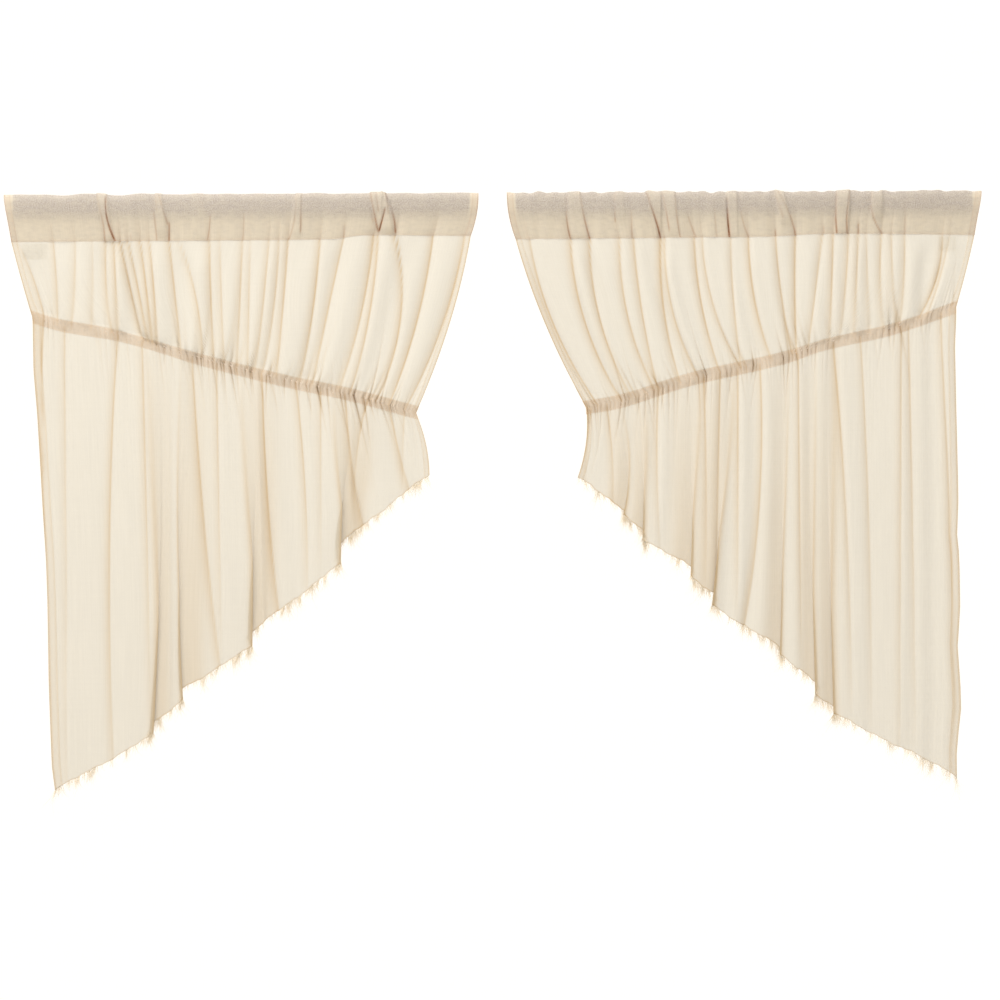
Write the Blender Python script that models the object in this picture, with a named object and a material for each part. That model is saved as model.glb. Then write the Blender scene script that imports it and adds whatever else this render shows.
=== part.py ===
"""Two gathered swag curtains that hang side by side, as on one rod.

Metres, +Z up, +Y away from the viewer, +X to the right.
The origin is the middle of the left rod pocket's top edge.
Each curtain is one slanting sheet of gauze with a rod pocket above it, a gathering
band sewn behind it, a blank label and a fringe along its raw slanting hem.

Places on a curtain are in millimetres, as a maker measures them:
across runs from its outer top corner towards its inner edge, drop runs down from
the top edge, and depth runs back from the plane of the rod.
Cloth counts millimetres along the flat cloth, from the outer side hem.
Level is 0 at the pocket seam, 1 on the gathering band and 2 at the raw hem.
"""
from collections import namedtuple

import bmesh
import bpy
import numpy as np

MM = 0.001

# Cut sizes of one curtain
CLOTH_WIDTH = 914.0
SIDE_HEM = 12.0
BAND_WIDTH = 20.0
LABEL_ACROSS = (27.0, 64.0)
LABEL_DROPS = (73.0, 96.0)
LABEL_DEPTHS = (1.2, 5.0)

# Thicknesses
CLOTH = 1.0
HEMMED = 1.8
POCKET_WALL = 1.2
BAND = 1.0
LABEL = 0.6
SEAM_GAP = 0.3
HEM_GAP = 0.4
SEAM_DROP_GAP = 0.5

# Rod pocket section: a flat rod fits in the upper part, between shoulder and knee.
# The two layers come together from the waist down to the seam.
POCKET_DEPTH = 13.0
POCKET_SHOULDER = 4.0
POCKET_KNEE = 27.0
WAIST_ABOVE_SEAM = 9.0
WAIST_FRONT = 0.8
WAIST_BACK = 0.6
SEAM_DEPTH = 2.8
INNER_SEAM_ABOVE_SEAM = 6.0
INNER_SEAM_HALF = 0.3

# Sections of the pocket: evenly spaced ones, and those at a pleat as shares of its width
POCKET_SECTIONS = 13
PLEAT_SECTIONS = (-1.3, -0.4, 0.4, 1.3)
LEAST_PITCH = 4.0
PLEAT_LIFT = 0.4

# Hanging pair
TOP_WIDTH = 717.0
PAIR_GAP = 43.0

# Rows of the sheet's grid above and below the band's middle line, and its column pitch
UPPER_ROWS = 4
LOWER_ROWS = 6
COLUMN_PITCH = 14.0

# Angle that the cloth has turned through on the hidden run of a lap at the hem, and the
# power with which a lap opens from the band down
FULL_TURN = np.radians(150)
OPENING = 1.5

# Low shoulders on both sides of a soft fold: their height and width as shares of the fold's
SHOULDER_HIGH = 0.4
SHOULDER_WIDE = 2.2

# Fineness of the path that the sheet's section is worked out on
SECTION_STEPS = 1829
SECTION_LEVELS = 33

# Fringe: its strip and the share of each grid column that a lock's root takes
STRIP = 2.6
LOCK_ROOT = 0.4
LOCK_LENGTHS = (8.0, 22.0)
LOCK_SWAY = (1.2, 0.5)
OPEN_TURN = 0.2

Edge = namedtuple("Edge", "top seam upper band lower hem")
Fold = namedtuple("Fold", "at_top at_mid at_low deep_top deep_mid deep_low wide")
Lap = namedtuple("Lap", "front back at_band at_mid at_hem deep")
Tuck = namedtuple("Tuck", "at_top at_seam high wide")
Curtain = namedtuple("Curtain", "name mirror start outer inner seam band_drops hem_drops "
                                "upper lower laps tucks seed")

# Folds between the pocket seam and the band: one row a fold, a negative depth is a ridge
LEFT_UPPER = [
    Fold(20, 45, 60, 0.5, 3.5, 0.8, 9),
    Fold(74, 79, 80, 1.5, 1.5, 0.3, 9),
    Fold(153, 154, 163, 4.0, 4.0, 0.8, 9),
    Fold(175, 193, 211, 5.5, 5.5, 1.0, 9),
    Fold(207, 218, 226, 4.0, 5.0, 1.0, 9),
    Fold(249, 258, 267, 5.0, 5.0, 1.0, 9),
    Fold(262, 289, 298, 1.0, 3.5, 0.8, 9),
    Fold(310, 313, 316, 4.0, 5.0, 1.0, 9),
    Fold(360, 355, 350, 3.0, 4.0, 0.8, 9),
    Fold(402, 392, 376, 3.0, 4.5, 0.8, 9),
    Fold(429, 419, 407, 5.0, 5.5, 1.0, 9),
    Fold(477, 465, 444, 5.0, 6.0, 1.0, 11),
    Fold(513, 489, 466, 5.0, 5.5, 1.0, 12),
    Fold(562, 543, 511, 6.0, 6.0, 1.0, 11),
    Fold(591, 598, 560, 6.0, 6.5, 1.0, 9),
    Fold(648, 621, 580, 6.0, 7.0, 1.2, 12),
    Fold(690, 660, 604, 2.0, 4.5, 1.0, 11),
]
RIGHT_UPPER = [
    Fold(59, 69, 97, 0.3, 5.0, 1.0, 9),
    Fold(116, 119, 125, 3.5, 4.5, 0.8, 9),
    Fold(151, 153, 146, 4.0, 4.0, 0.8, 9),
    Fold(194, 198, 206, 5.0, 5.0, 0.8, 12),
    Fold(224, 227, 231, 5.0, 5.0, 1.0, 9),
    Fold(240, 254, 264, 3.5, 4.0, 0.8, 9),
    Fold(281, 282, 280, 6.0, 7.0, 1.2, 9),
    Fold(311, 302, 287, 4.0, 5.0, 0.8, 9),
    Fold(352, 342, 317, 5.0, 6.0, 1.0, 9),
    Fold(379, 374, 364, 3.0, 4.0, 0.8, 9),
    Fold(433, 421, 396, 5.5, 6.0, 1.0, 11),
    Fold(485, 479, 456, 6.0, 6.5, 1.0, 10),
    Fold(526, 512, 490, 5.5, 5.5, 1.0, 10),
    Fold(547, 533, 503, 3.5, 4.5, 0.8, 9),
    Fold(592, 575, 529, 6.0, 6.5, 1.0, 10),
    Fold(621, 599, 544, 6.0, 7.0, 1.2, 11),
    Fold(681, 646, 580, 2.5, 6.0, 1.0, 12),
]

# Soft folds between the band and the hem
LEFT_LOWER = [
    Fold(171, 157, 162, 1.0, 6.0, 4.0, 16),
    Fold(209, 215, 219, 1.0, 3.0, 0.0, 9),
    Fold(246, 247, 246, -0.5, -4.0, -4.0, 11),
    Fold(283, 300, 323, 1.0, 6.0, 5.0, 13),
    Fold(320, 323, 326, 1.0, 2.5, 0.0, 9),
    Fold(382, 386, 391, -0.5, -6.0, -6.0, 9),
    Fold(390, 398, 412, 1.0, 6.0, 8.0, 11),
    Fold(440, 453, 456, 1.0, 5.0, 2.0, 13),
    Fold(524, 522, 524, -1.0, -5.0, -2.0, 10),
    Fold(539, 534, 541, 1.0, 6.0, 6.0, 11),
    Fold(580, 595, 610, 1.0, 5.0, 6.0, 13),
]
RIGHT_LOWER = [
    Fold(62, 51, 50, 1.0, 4.0, 2.0, 9),
    Fold(111, 107, 104, 1.0, 3.0, 0.0, 9),
    Fold(122, 125, 128, 1.0, 3.5, 1.5, 9),
    Fold(184, 172, 168, 1.0, 3.0, 0.0, 10),
    Fold(225, 206, 200, 1.0, 5.0, 1.0, 11),
    Fold(278, 277, 275, 1.0, 3.0, 0.0, 9),
    Fold(336, 338, 361, 1.0, 6.0, 7.0, 11),
    Fold(369, 370, 372, 1.0, 4.0, 0.0, 9),
    Fold(420, 418, 420, 1.0, 2.5, 0.0, 9),
    Fold(490, 492, 488, 1.0, 4.0, 1.0, 10),
    Fold(568, 560, 559, 0.8, 3.0, 2.0, 9),
]

# Folds that lap over the next stretch of cloth and make the steps in the hem
LEFT_LAPS = [
    Lap(160, 214, 229, 234, 223, 10),
    Lap(258, 312, 273, 262, 268, 10),
    Lap(414, 483, 366, 373, 373, 12),
    Lap(654, 749, 511, 510, 509, 15),
]
RIGHT_LAPS = [
    Lap(189, 222, 230, 231, 227, 8),
    Lap(252, 303, 255, 258, 256, 11),
    Lap(373, 403, 293, 300, 308, 7),
    Lap(521, 580, 384, 393, 411, 11),
    Lap(612, 655, 431, 436, 443, 9),
    Lap(726, 762, 516, 512, 515, 8),
    Lap(797, 828, 552, 535, 544, 7),
]

# Pleats that stand out of the pocket's front where it is bunched on the rod
LEFT_TUCKS = [
    Tuck(148, 160, 4.0, 8),
    Tuck(231, 241, 4.0, 9),
    Tuck(302, 306, 1.5, 8),
    Tuck(449, 441, 2.5, 7),
    Tuck(560, 557, 5.5, 8),
    Tuck(580, 582, 5.5, 8),
]
RIGHT_TUCKS = [
    Tuck(172, 160, 4.0, 8),
    Tuck(213, 213, 5.0, 9),
    Tuck(305, 282, 4.0, 9),
    Tuck(394, 393, 4.0, 8),
    Tuck(462, 440, 2.0, 8),
    Tuck(493, 481, 5.0, 9),
    Tuck(530, 527, 2.0, 7),
    Tuck(554, 550, 2.0, 7),
    Tuck(618, 607, 3.0, 11),
]

# Seam and band rows are pairs of across and drop; hem drops are at the two corners
LEFT = Curtain(
    name="left", mirror=1, start=-TOP_WIDTH / 2,
    outer=Edge(0, 11, 26, 42, 62, 77), inner=Edge(717, 705, 672, 621, 636, 641),
    seam=[(0, 70), (490, 68), (545, 62), (717, 64)],
    band_drops=[(42, 183), (92, 197), (168, 210), (311, 252), (440, 285), (515, 301), (621, 331)],
    hem_drops=(898, 423), upper=LEFT_UPPER, lower=LEFT_LOWER, laps=LEFT_LAPS,
    tucks=LEFT_TUCKS, seed=3)
RIGHT = Curtain(
    name="right", mirror=-1, start=TOP_WIDTH * 1.5 + PAIR_GAP,
    outer=Edge(0, 11, 24, 39, 38, 41), inner=Edge(717, 704, 660, 598, 599, 612),
    seam=[(0, 66), (230, 63), (330, 67), (717, 69)],
    band_drops=[(38, 174), (140, 208), (240, 230), (296, 249), (440, 282), (553, 316), (598, 324)],
    hem_drops=(882, 429), upper=RIGHT_UPPER, lower=RIGHT_LOWER, laps=RIGHT_LAPS,
    tucks=RIGHT_TUCKS, seed=8)

COLOURS = {
    "panel": (0.86, 0.79, 0.68),
    "heading": (0.76, 0.67, 0.54),
    "band": (0.70, 0.58, 0.44),
    "fringe": (0.88, 0.80, 0.68),
    "label": (0.90, 0.88, 0.84),
}


def smooth_through(where, xs, ys):
    """Values at `where` of a cubic curve through the points, with no overshoot between them."""
    xs, ys = np.asarray(xs, float), np.asarray(ys, float)
    step = np.diff(xs)
    rise = np.diff(ys) / step
    slope = np.zeros(len(xs))
    slope[0], slope[-1] = rise[0], rise[-1]
    same_way = rise[:-1] * rise[1:] > 0
    mean = 2 * rise[:-1] * rise[1:] / np.where(same_way, rise[:-1] + rise[1:], 1)
    slope[1:-1] = np.where(same_way, mean, 0)
    i = np.clip(np.searchsorted(xs, where, side="right") - 1, 0, len(step) - 1)
    h = step[i]
    f = (where - xs[i]) / h
    return ((1 + 2 * f) * (1 - f) ** 2 * ys[i] + f * (1 - f) ** 2 * h * slope[i]
            + f ** 2 * (3 - 2 * f) * ys[i + 1] - f ** 2 * (1 - f) * h * slope[i + 1])


def three_levels(f, top, mid, low):
    """Curve in f, 0 to 1, that passes through top, mid and low."""
    return (2 * (f - 0.5) * (f - 1) * top + 4 * f * (1 - f) * mid + 2 * f * (f - 0.5) * low)


def trough(distance, wide):
    """Section of a soft fold: a rounded valley between two low shoulders."""
    v = distance / wide
    return np.exp(-v ** 2) - SHOULDER_HIGH * np.exp(-(v / SHOULDER_WIDE) ** 2)


def seam_drop(curtain, across):
    """Drop of the pocket seam at a place across the top."""
    return smooth_through(across, *zip(*curtain.seam))


def band_drop(curtain, across):
    """Drop of the band's middle line."""
    return smooth_through(across, *zip(*curtain.band_drops))


def hem_drop(curtain, cloth):
    """Drop of the raw hem, which is cut on a straight slant across the flat cloth."""
    long_side, short_side = curtain.hem_drops
    return long_side + (short_side - long_side) * cloth / CLOTH_WIDTH


def gathered(curtain, cloth):
    """Where each width of cloth lies along the band: flat near the outer edge, then gathered."""
    return below_band(curtain, cloth, np.zeros_like(cloth))[0]


def lap_turns(lap):
    """Radius of a lap's two turns, and the widths of cloth at the middle of each turn.

    Cloth is hidden by half of the first turn, the run back under the front edge, the whole
    second turn and the run out again: together they use up the lap's hidden cloth.
    """
    radius = lap.deep / 2
    run = (lap.back - lap.front - 1.5 * np.pi * radius - radius) / 2
    return radius, lap.front, lap.front + np.pi * radius + run


def turned(curtain, cloth):
    """How far the sheet's section has turned back on itself, from 0 to 1, at the hem."""
    total = np.zeros_like(cloth)
    for lap in curtain.laps:
        radius, first, second = lap_turns(lap)
        for middle, sign in ((first, 1), (second, -1)):
            v = np.clip((cloth - middle) / (np.pi * radius), -0.5, 0.5)
            total += sign * (0.5 + v + np.sin(2 * np.pi * v) / (2 * np.pi))
    return total


def running_sum(values, step):
    """Integral of evenly spaced values from the first one on."""
    return np.concatenate([[0], np.cumsum((values[1:] + values[:-1]) / 2 * step)])


def hung_section(curtain, f):
    """Across and depth along the whole cloth at f, 0 at the band to 1 at the hem.

    The path turns by the opened angle at each lap. Its speed across is scaled between laps
    so that each front edge lies where the table says, and its depth is levelled at the laps.
    """
    fine = np.linspace(0, CLOTH_WIDTH, SECTION_STEPS)
    step = fine[1] - fine[0]
    angle = FULL_TURN * np.sin(np.pi / 2 * f) ** OPENING * turned(curtain, fine)
    run, back = running_sum(np.cos(angle), step), running_sum(np.sin(angle), step)
    knots, runs, places = [0.0], [0.0], [three_levels(f, *curtain.outer[3:])]
    for lap in curtain.laps:
        middle = sum(lap_turns(lap)[1:]) / 2
        at_middle = np.interp(middle, fine, run)
        ahead = run[(fine > lap.front - lap.deep) & (fine <= middle)].max() - at_middle
        knots.append(middle)
        runs.append(at_middle)
        places.append(three_levels(f, lap.at_band, lap.at_mid, lap.at_hem) - ahead)
    knots.append(CLOTH_WIDTH)
    runs.append(run[-1])
    places.append(three_levels(f, *curtain.inner[3:]))
    across = np.empty_like(fine)
    for i in range(len(knots) - 1):
        part = (fine >= knots[i]) & (fine <= knots[i + 1])
        scale = (places[i + 1] - places[i]) / (runs[i + 1] - runs[i])
        across[part] = places[i] + (run[part] - runs[i]) * scale
    drift = smooth_through(fine, knots, np.interp(knots, fine, back))
    return fine, across, back - drift


def below_band(curtain, cloth, f):
    """Across and depth of the cloth below the band, before its soft folds."""
    stops = np.linspace(0, 1, SECTION_LEVELS)
    sections = [hung_section(curtain, stop) for stop in stops]
    fine = sections[0][0]
    lines = np.array([section[1:] for section in sections])
    where = np.clip(f, 0, 1) * (SECTION_LEVELS - 1)
    low = np.clip(where.astype(int), 0, SECTION_LEVELS - 2)
    at = np.clip(np.round(cloth / fine[1]).astype(int), 0, len(fine) - 1)
    mix = where - low
    across, depth = (lines[low, k, at] * (1 - mix) + lines[low + 1, k, at] * mix for k in (0, 1))
    return across, depth


def fold_depth(folds, across, f):
    """Depth of all soft folds of a table, at f from the stretch's top to its low end."""
    depth = np.zeros_like(across)
    for fold in folds:
        line = three_levels(f, fold.at_top, fold.at_mid, fold.at_low)
        deep = three_levels(f, fold.deep_top, fold.deep_mid, fold.deep_low)
        depth += deep * trough(across - line, fold.wide)
    return depth


def sheet(curtain, cloth, level):
    """Middle surface of the hanging cloth, as across, drop and depth arrays."""
    cloth, level = np.broadcast_arrays(np.asarray(cloth, float), np.asarray(level, float))
    share = cloth / CLOTH_WIDTH
    at_seam, at_upper = (a + (b - a) * share for a, b in
                         ((curtain.outer.seam, curtain.inner.seam),
                          (curtain.outer.upper, curtain.inner.upper)))
    at_band = gathered(curtain, cloth)
    f_up, f_low = np.clip(level, 0, 1), np.clip(level - 1, 0, 1)
    above = three_levels(f_up, at_seam, at_upper, at_band)
    below, lap_depth = below_band(curtain, cloth, f_low)
    across = np.where(level < 1, above, below)
    depth = np.where(level < 1, fold_depth(curtain.upper, above, f_up),
                     lap_depth + fold_depth(curtain.lower, below, f_low))
    top, mid = seam_drop(curtain, at_seam) + SEAM_DROP_GAP, band_drop(curtain, at_band)
    low = hem_drop(curtain, cloth)
    drop = np.where(level < 1, top + (mid - top) * f_up, mid + (low - mid) * f_low)
    return across, drop, depth


def to_space(curtain, across, drop, depth):
    """World places in metres of points given as across, drop and depth."""
    x = curtain.start + curtain.mirror * across
    return np.stack([x * MM, depth * MM, -drop * MM], axis=-1)


def backward(curtain, points):
    """Level unit normals of a surface grid, turned away from the viewer on flat stretches."""
    along = np.gradient(points, axis=1)
    down = np.gradient(points, axis=0)
    normal = np.cross(along, down) * curtain.mirror
    normal[..., 2] = 0
    return normal / np.linalg.norm(normal, axis=2, keepdims=True)


def cloth_thickness(cloth):
    """Sheet thickness: the turned side hems are thicker than the single cloth."""
    edge = np.minimum(cloth, CLOTH_WIDTH - cloth)
    return np.where(edge <= SIDE_HEM, HEMMED, CLOTH)


def columns(curtain):
    """Widths of cloth at which a sheet is modelled: at hems, laps and evenly between."""
    at = {0.0, SIDE_HEM, SIDE_HEM + 3, CLOTH_WIDTH - SIDE_HEM - 3, CLOTH_WIDTH - SIDE_HEM, CLOTH_WIDTH}
    for lap in curtain.laps:
        radius, first, second = lap_turns(lap)
        for middle in (first, second):
            at.update(middle + k * np.pi * radius for k in (-0.4, 0, 0.4))
    marks = sorted(at)
    filled = []
    for a, b in zip(marks[:-1], marks[1:]):
        pieces = max(1, round((b - a) / COLUMN_PITCH))
        filled += list(np.linspace(a, b, pieces, endpoint=False))
    return np.array(filled + [CLOTH_WIDTH])


def add_object(name, slot, verts, faces):
    """Mesh object of one closed body, with its faces turned outwards and its own material."""
    mesh = bpy.data.meshes.new(name)
    mesh.from_pydata([tuple(v) for v in verts], [], faces)
    work = bmesh.new()
    work.from_mesh(mesh)
    bmesh.ops.triangulate(work, faces=work.faces[:])
    bmesh.ops.recalc_face_normals(work, faces=work.faces[:])
    work.to_mesh(mesh)
    work.free()
    mesh.shade_smooth()
    material = bpy.data.materials.new(name)
    material.use_nodes = True
    shader = material.node_tree.nodes["Principled BSDF"]
    shader.inputs["Base Color"].default_value = (*COLOURS[slot], 1)
    shader.inputs["Roughness"].default_value = 0.9
    shader.inputs["Metallic"].default_value = 0
    mesh.materials.append(material)
    thing = bpy.data.objects.new(name, mesh)
    bpy.context.scene.collection.objects.link(thing)
    return thing


def shell(front, back):
    """Vertices and faces of the closed sheet between two equal grids of points."""
    rows, cols = front.shape[:2]
    verts = np.concatenate([front.reshape(-1, 3), back.reshape(-1, 3)])
    size = rows * cols
    faces = []
    for r in range(rows - 1):
        for c in range(cols - 1):
            a = r * cols + c
            quad = (a, a + 1, a + cols + 1, a + cols)
            faces.append(quad)
            faces.append(tuple(size + v for v in reversed(quad)))
    rim = list(range(cols))
    rim += [r * cols + cols - 1 for r in range(1, rows)]
    rim += [(rows - 1) * cols + c for c in range(cols - 2, -1, -1)]
    rim += [r * cols for r in range(rows - 2, 0, -1)]
    for a, b in zip(rim, rim[1:] + rim[:1]):
        faces.append((b, a, size + a, size + b))
    return verts, faces


def surface(curtain, cloth, level):
    """World points and backward normals of the hanging cloth."""
    points = to_space(curtain, *sheet(curtain, cloth, level))
    return points, backward(curtain, points)


def cloth_grid(curtain):
    """Cloth and level of every point of the sheet's grid: its rows follow seam, band and hem."""
    cloth = columns(curtain)
    at_seam = curtain.outer.seam + (curtain.inner.seam - curtain.outer.seam) * cloth / CLOTH_WIDTH
    middle = band_drop(curtain, gathered(curtain, cloth))
    up = BAND_WIDTH / 2 / (middle - seam_drop(curtain, at_seam))
    down = BAND_WIDTH / 2 / (hem_drop(curtain, cloth) - middle)
    above = np.linspace(0, 1 - up, UPPER_ROWS)
    below = np.linspace(1 + down, 2, LOWER_ROWS)
    level = np.concatenate([above, np.ones_like(cloth)[None, :], below])
    return np.broadcast_to(cloth, level.shape), level


def panel_and_band(curtain):
    """The sheet from pocket seam to raw hem, and the gathering band sewn across its back."""
    cloth, level = cloth_grid(curtain)
    points, normal = surface(curtain, cloth, level)
    half = (cloth_thickness(cloth) / 2 * MM)[..., None]
    add_object(f"{curtain.name}_panel", "panel", *shell(points - normal * half, points + normal * half))
    on_band = slice(UPPER_ROWS - 1, UPPER_ROWS + 2)
    front = (points + normal * (half + SEAM_GAP * MM))[on_band]
    back = (points + normal * (half + (SEAM_GAP + BAND) * MM))[on_band]
    add_object(f"{curtain.name}_band", "band", *shell(front, back))


def label(curtain):
    """Blank label sewn under the pocket seam behind the outer corner, tilted clear of the folds."""
    rows = [(drop, depth) for drop, depth in zip(LABEL_DROPS, LABEL_DEPTHS)]
    near = np.array([[(across, drop, depth) for across in LABEL_ACROSS] for drop, depth in rows])
    front = to_space(curtain, *np.moveaxis(near, -1, 0))
    back = front + np.array([0, LABEL * MM, 0])
    add_object(f"{curtain.name}_label", "label", *shell(front, back))


def pocket_section(low):
    """Outer and inner outline of the pocket as rows of depth and drop, from its front seam round."""
    half, seam_half, wall = POCKET_DEPTH / 2, SEAM_DEPTH / 2, POCKET_WALL
    knee, shoulder, waist = POCKET_KNEE, POCKET_SHOULDER, low - WAIST_ABOVE_SEAM
    front, back = -seam_half - WAIST_FRONT, seam_half + WAIST_BACK
    inner_low = low - INNER_SEAM_ABOVE_SEAM
    outer = [(-seam_half, low), (front, waist), (-half, knee), (-half, shoulder), (0, 0),
             (half, shoulder), (half, knee), (back, waist), (seam_half, low)]
    inner = [(-INNER_SEAM_HALF, inner_low), (front + wall, waist), (wall - half, knee),
             (wall - half, shoulder), (0, wall), (half - wall, shoulder), (half - wall, knee),
             (back - wall, waist), (INNER_SEAM_HALF, inner_low)]
    return np.array(outer), np.array(inner)


def heading(curtain):
    """Rod pocket: a flat sleeve, open at both ends, with pleats standing out of its front."""
    shares = pocket_shares(curtain)
    rings = [pleated(curtain, share, ring) for share in shares
             for ring in pocket_section(float(seam_drop(curtain, share * TOP_WIDTH)))]
    sections = np.array(rings).reshape(len(shares), 2, -1, 3)
    add_object(f"{curtain.name}_heading", "heading", *sleeve(sections))


def pocket_shares(curtain):
    """Places of the pocket's sections as shares of its width, more of them at each pleat."""
    shares = set(np.linspace(0, 1, POCKET_SECTIONS)) | {a / TOP_WIDTH for a, _ in curtain.seam}
    for tuck in curtain.tucks:
        centre = (tuck.at_top + tuck.at_seam) / 2
        shares.update((centre + tuck.wide * k) / TOP_WIDTH for k in PLEAT_SECTIONS)
    shares = np.array(sorted(shares))
    return shares[np.concatenate([[True], np.diff(shares) * TOP_WIDTH > LEAST_PITCH])]


def pleated(curtain, share, ring):
    """World points of a pocket outline at one share of its width, with the pleats in its front."""
    depth, drop = ring[:, 0], ring[:, 1]
    f = drop / seam_drop(curtain, share * TOP_WIDTH)
    start = curtain.outer.top + (curtain.outer.seam - curtain.outer.top) * f
    end = curtain.inner.top + (curtain.inner.seam - curtain.inner.top) * f ** 2
    across = start + (end - start) * share
    bump = np.zeros_like(depth)
    for tuck in curtain.tucks:
        line = tuck.at_top + (tuck.at_seam - tuck.at_top) * f
        bump += tuck.high * np.exp(-((across - line) / tuck.wide) ** 2)
    lift = PLEAT_LIFT * bump * np.clip(1 - drop / POCKET_KNEE, 0, 1)
    return to_space(curtain, across, drop - lift, depth - np.where(depth < -1, bump, 0))


def sleeve(sections):
    """Vertices and faces of a walled tube from its outer and inner rings at each section."""
    count, _, points = sections.shape[:3]
    verts = sections.reshape(-1, 3)

    def at(section, ring, point):
        return (section * 2 + ring) * points + point % points

    faces = []
    for s in range(count - 1):
        for p in range(points):
            for ring in (0, 1):
                quad = (at(s, ring, p), at(s + 1, ring, p), at(s + 1, ring, p + 1), at(s, ring, p + 1))
                faces.append(quad if ring == 0 else quad[::-1])
    for s, turn in ((0, 1), (count - 1, -1)):
        for p in range(points):
            faces.append((at(s, 0, p), at(s, 0, p + 1), at(s, 1, p + 1), at(s, 1, p))[::turn])
    return verts, faces


def fringe(curtain):
    """Frayed edge: a narrow strip under the hem, with pointed locks drawn out of its lower side."""
    rng = np.random.default_rng(curtain.seed)
    cloth, level = cloth_grid(curtain)
    points, normal = surface(curtain, cloth, level)
    hem, normal = (between_columns(row, LOCK_ROOT) for row in (points[-1], normal[-1]))
    down = np.array([0, 0, -MM])
    half = normal * CLOTH / 2 * MM
    top, low = hem + down * HEM_GAP, hem + down * (HEM_GAP + STRIP)
    verts, faces = shell(np.stack([top - half, low - half]), np.stack([top + half, low + half]))
    cols = len(hem)
    open_cloth = turned(curtain, cloth[-1][:-1]) + turned(curtain, cloth[-1][1:]) < OPEN_TURN
    roots = {frozenset((cols + c, cols + c + 1, 3 * cols + c, 3 * cols + c + 1))
             for c in range(0, cols - 1, 2) if open_cloth[c // 2]}
    verts, whole = list(verts), []
    for face in faces:
        if frozenset(face) not in roots:
            whole.append(face)
            continue
        middle = np.mean([verts[v] for v in face], axis=0)
        fall = np.array([*rng.normal(0, LOCK_SWAY), -rng.uniform(*LOCK_LENGTHS)])
        verts.append(middle + fall * MM)
        whole += [(a, b, len(verts) - 1) for a, b in zip(face, face[1:] + face[:1])]
    add_object(f"{curtain.name}_fringe", "fringe", verts, whole)


def between_columns(row, share):
    """A row of points with one more between each two neighbours, on the line that joins them."""
    extra = row[:-1] + (row[1:] - row[:-1]) * share
    both = np.empty((2 * len(row) - 1, 3))
    both[0::2], both[1::2] = row, extra
    return both


def main():
    for thing in list(bpy.data.objects):
        bpy.data.objects.remove(thing, do_unlink=True)
    for curtain in (LEFT, RIGHT):
        panel_and_band(curtain)
        heading(curtain)
        label(curtain)
        fringe(curtain)


main()
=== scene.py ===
"""Looks of a mirrored pair of swag curtains in sheer unbleached cotton gauze.

Metres, +Z up, +Y away from the viewer, +X to the right; the origin is the middle of the
left rod pocket's top edge. Each curtain is a slanting sheet of gauze with a rod pocket
above it, a gathering casing sewn behind it, a blank label and a frayed raw hem.

Places on a curtain are in millimetres, as a maker measures them:
across runs from its outer top corner towards its inner edge, drop runs down from
the top edge, and depth runs back from the plane of the rod.
Cloth counts millimetres along the flat cloth, from the outer side hem.
Level is 0 at the pocket seam, 1 on the gathering band and 2 at the raw hem.
"""
from collections import namedtuple

import bpy
import numpy as np
from mathutils import Euler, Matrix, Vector


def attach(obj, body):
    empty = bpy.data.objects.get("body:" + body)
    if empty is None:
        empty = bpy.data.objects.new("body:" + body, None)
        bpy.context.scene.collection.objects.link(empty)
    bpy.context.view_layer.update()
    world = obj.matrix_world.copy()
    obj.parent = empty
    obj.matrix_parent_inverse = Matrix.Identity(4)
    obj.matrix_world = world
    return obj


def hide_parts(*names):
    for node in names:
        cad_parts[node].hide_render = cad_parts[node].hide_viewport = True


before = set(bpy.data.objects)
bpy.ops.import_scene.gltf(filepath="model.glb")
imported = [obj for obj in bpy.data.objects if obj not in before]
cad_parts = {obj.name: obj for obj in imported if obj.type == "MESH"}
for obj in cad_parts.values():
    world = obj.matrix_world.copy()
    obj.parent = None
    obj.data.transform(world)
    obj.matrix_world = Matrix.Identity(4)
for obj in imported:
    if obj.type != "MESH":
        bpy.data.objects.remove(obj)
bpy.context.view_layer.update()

MM = 0.001

# Heights and lengths of the waves by which the raw hem strays from its slant
HEM_WAVES = [(1.3, 19.0), (0.9, 7.7), (0.5, 3.1)]

# Cut sizes of one curtain
CLOTH_WIDTH = 914.0
SIDE_HEM = 12.0
BAND_WIDTH = 20.0

# Thicknesses of the gauze, of its turned side hems and of the casing, the casing's gap to the
# gauze, and the thickness of the label
GAUZE = 0.5
HEMMED = 1.3
CASING = 0.7
CASING_GAP = 0.3
TAPE = 0.5

# Width of a hung curtain along the rod, and the gap between the two curtains
TOP_WIDTH = 717.0
PAIR_GAP = 43.0

# Angle that the cloth has turned through on the hidden run of a lap at the hem, and the
# power with which a lap opens from the band down
FULL_TURN = np.radians(108)
OPENING = 1.5

# Share of its free depth to which a lap is pressed flat
LAP_CLOSENESS = 0.21

# Grid of a panel: columns of cloth, rows above and below the band, and the number of places along
# the cloth at which a section below the band is worked out
COLUMNS = 690
ROWS_ABOVE = 29
ROWS_BELOW = 38
SECTION_STEPS = 1829

Edge = namedtuple("Edge", "top seam upper band lower hem")
Fold = namedtuple("Fold", "at_top at_mid at_low deep_top deep_mid deep_low wide")
Lap = namedtuple("Lap", "front back at_band at_mid at_hem deep")
Pleat = namedtuple("Pleat", "near_top far_top near_low far_low high reach")
Line = namedtuple("Line", "at_top at_mid at_seam start end dark")
Gather = namedtuple("Gather", "start end strong")
Curtain = namedtuple("Curtain", "name mirror start outer inner seam band_drops hem_drops wavy "
                                "upper lower laps pleats lines gathers label seed")

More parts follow.
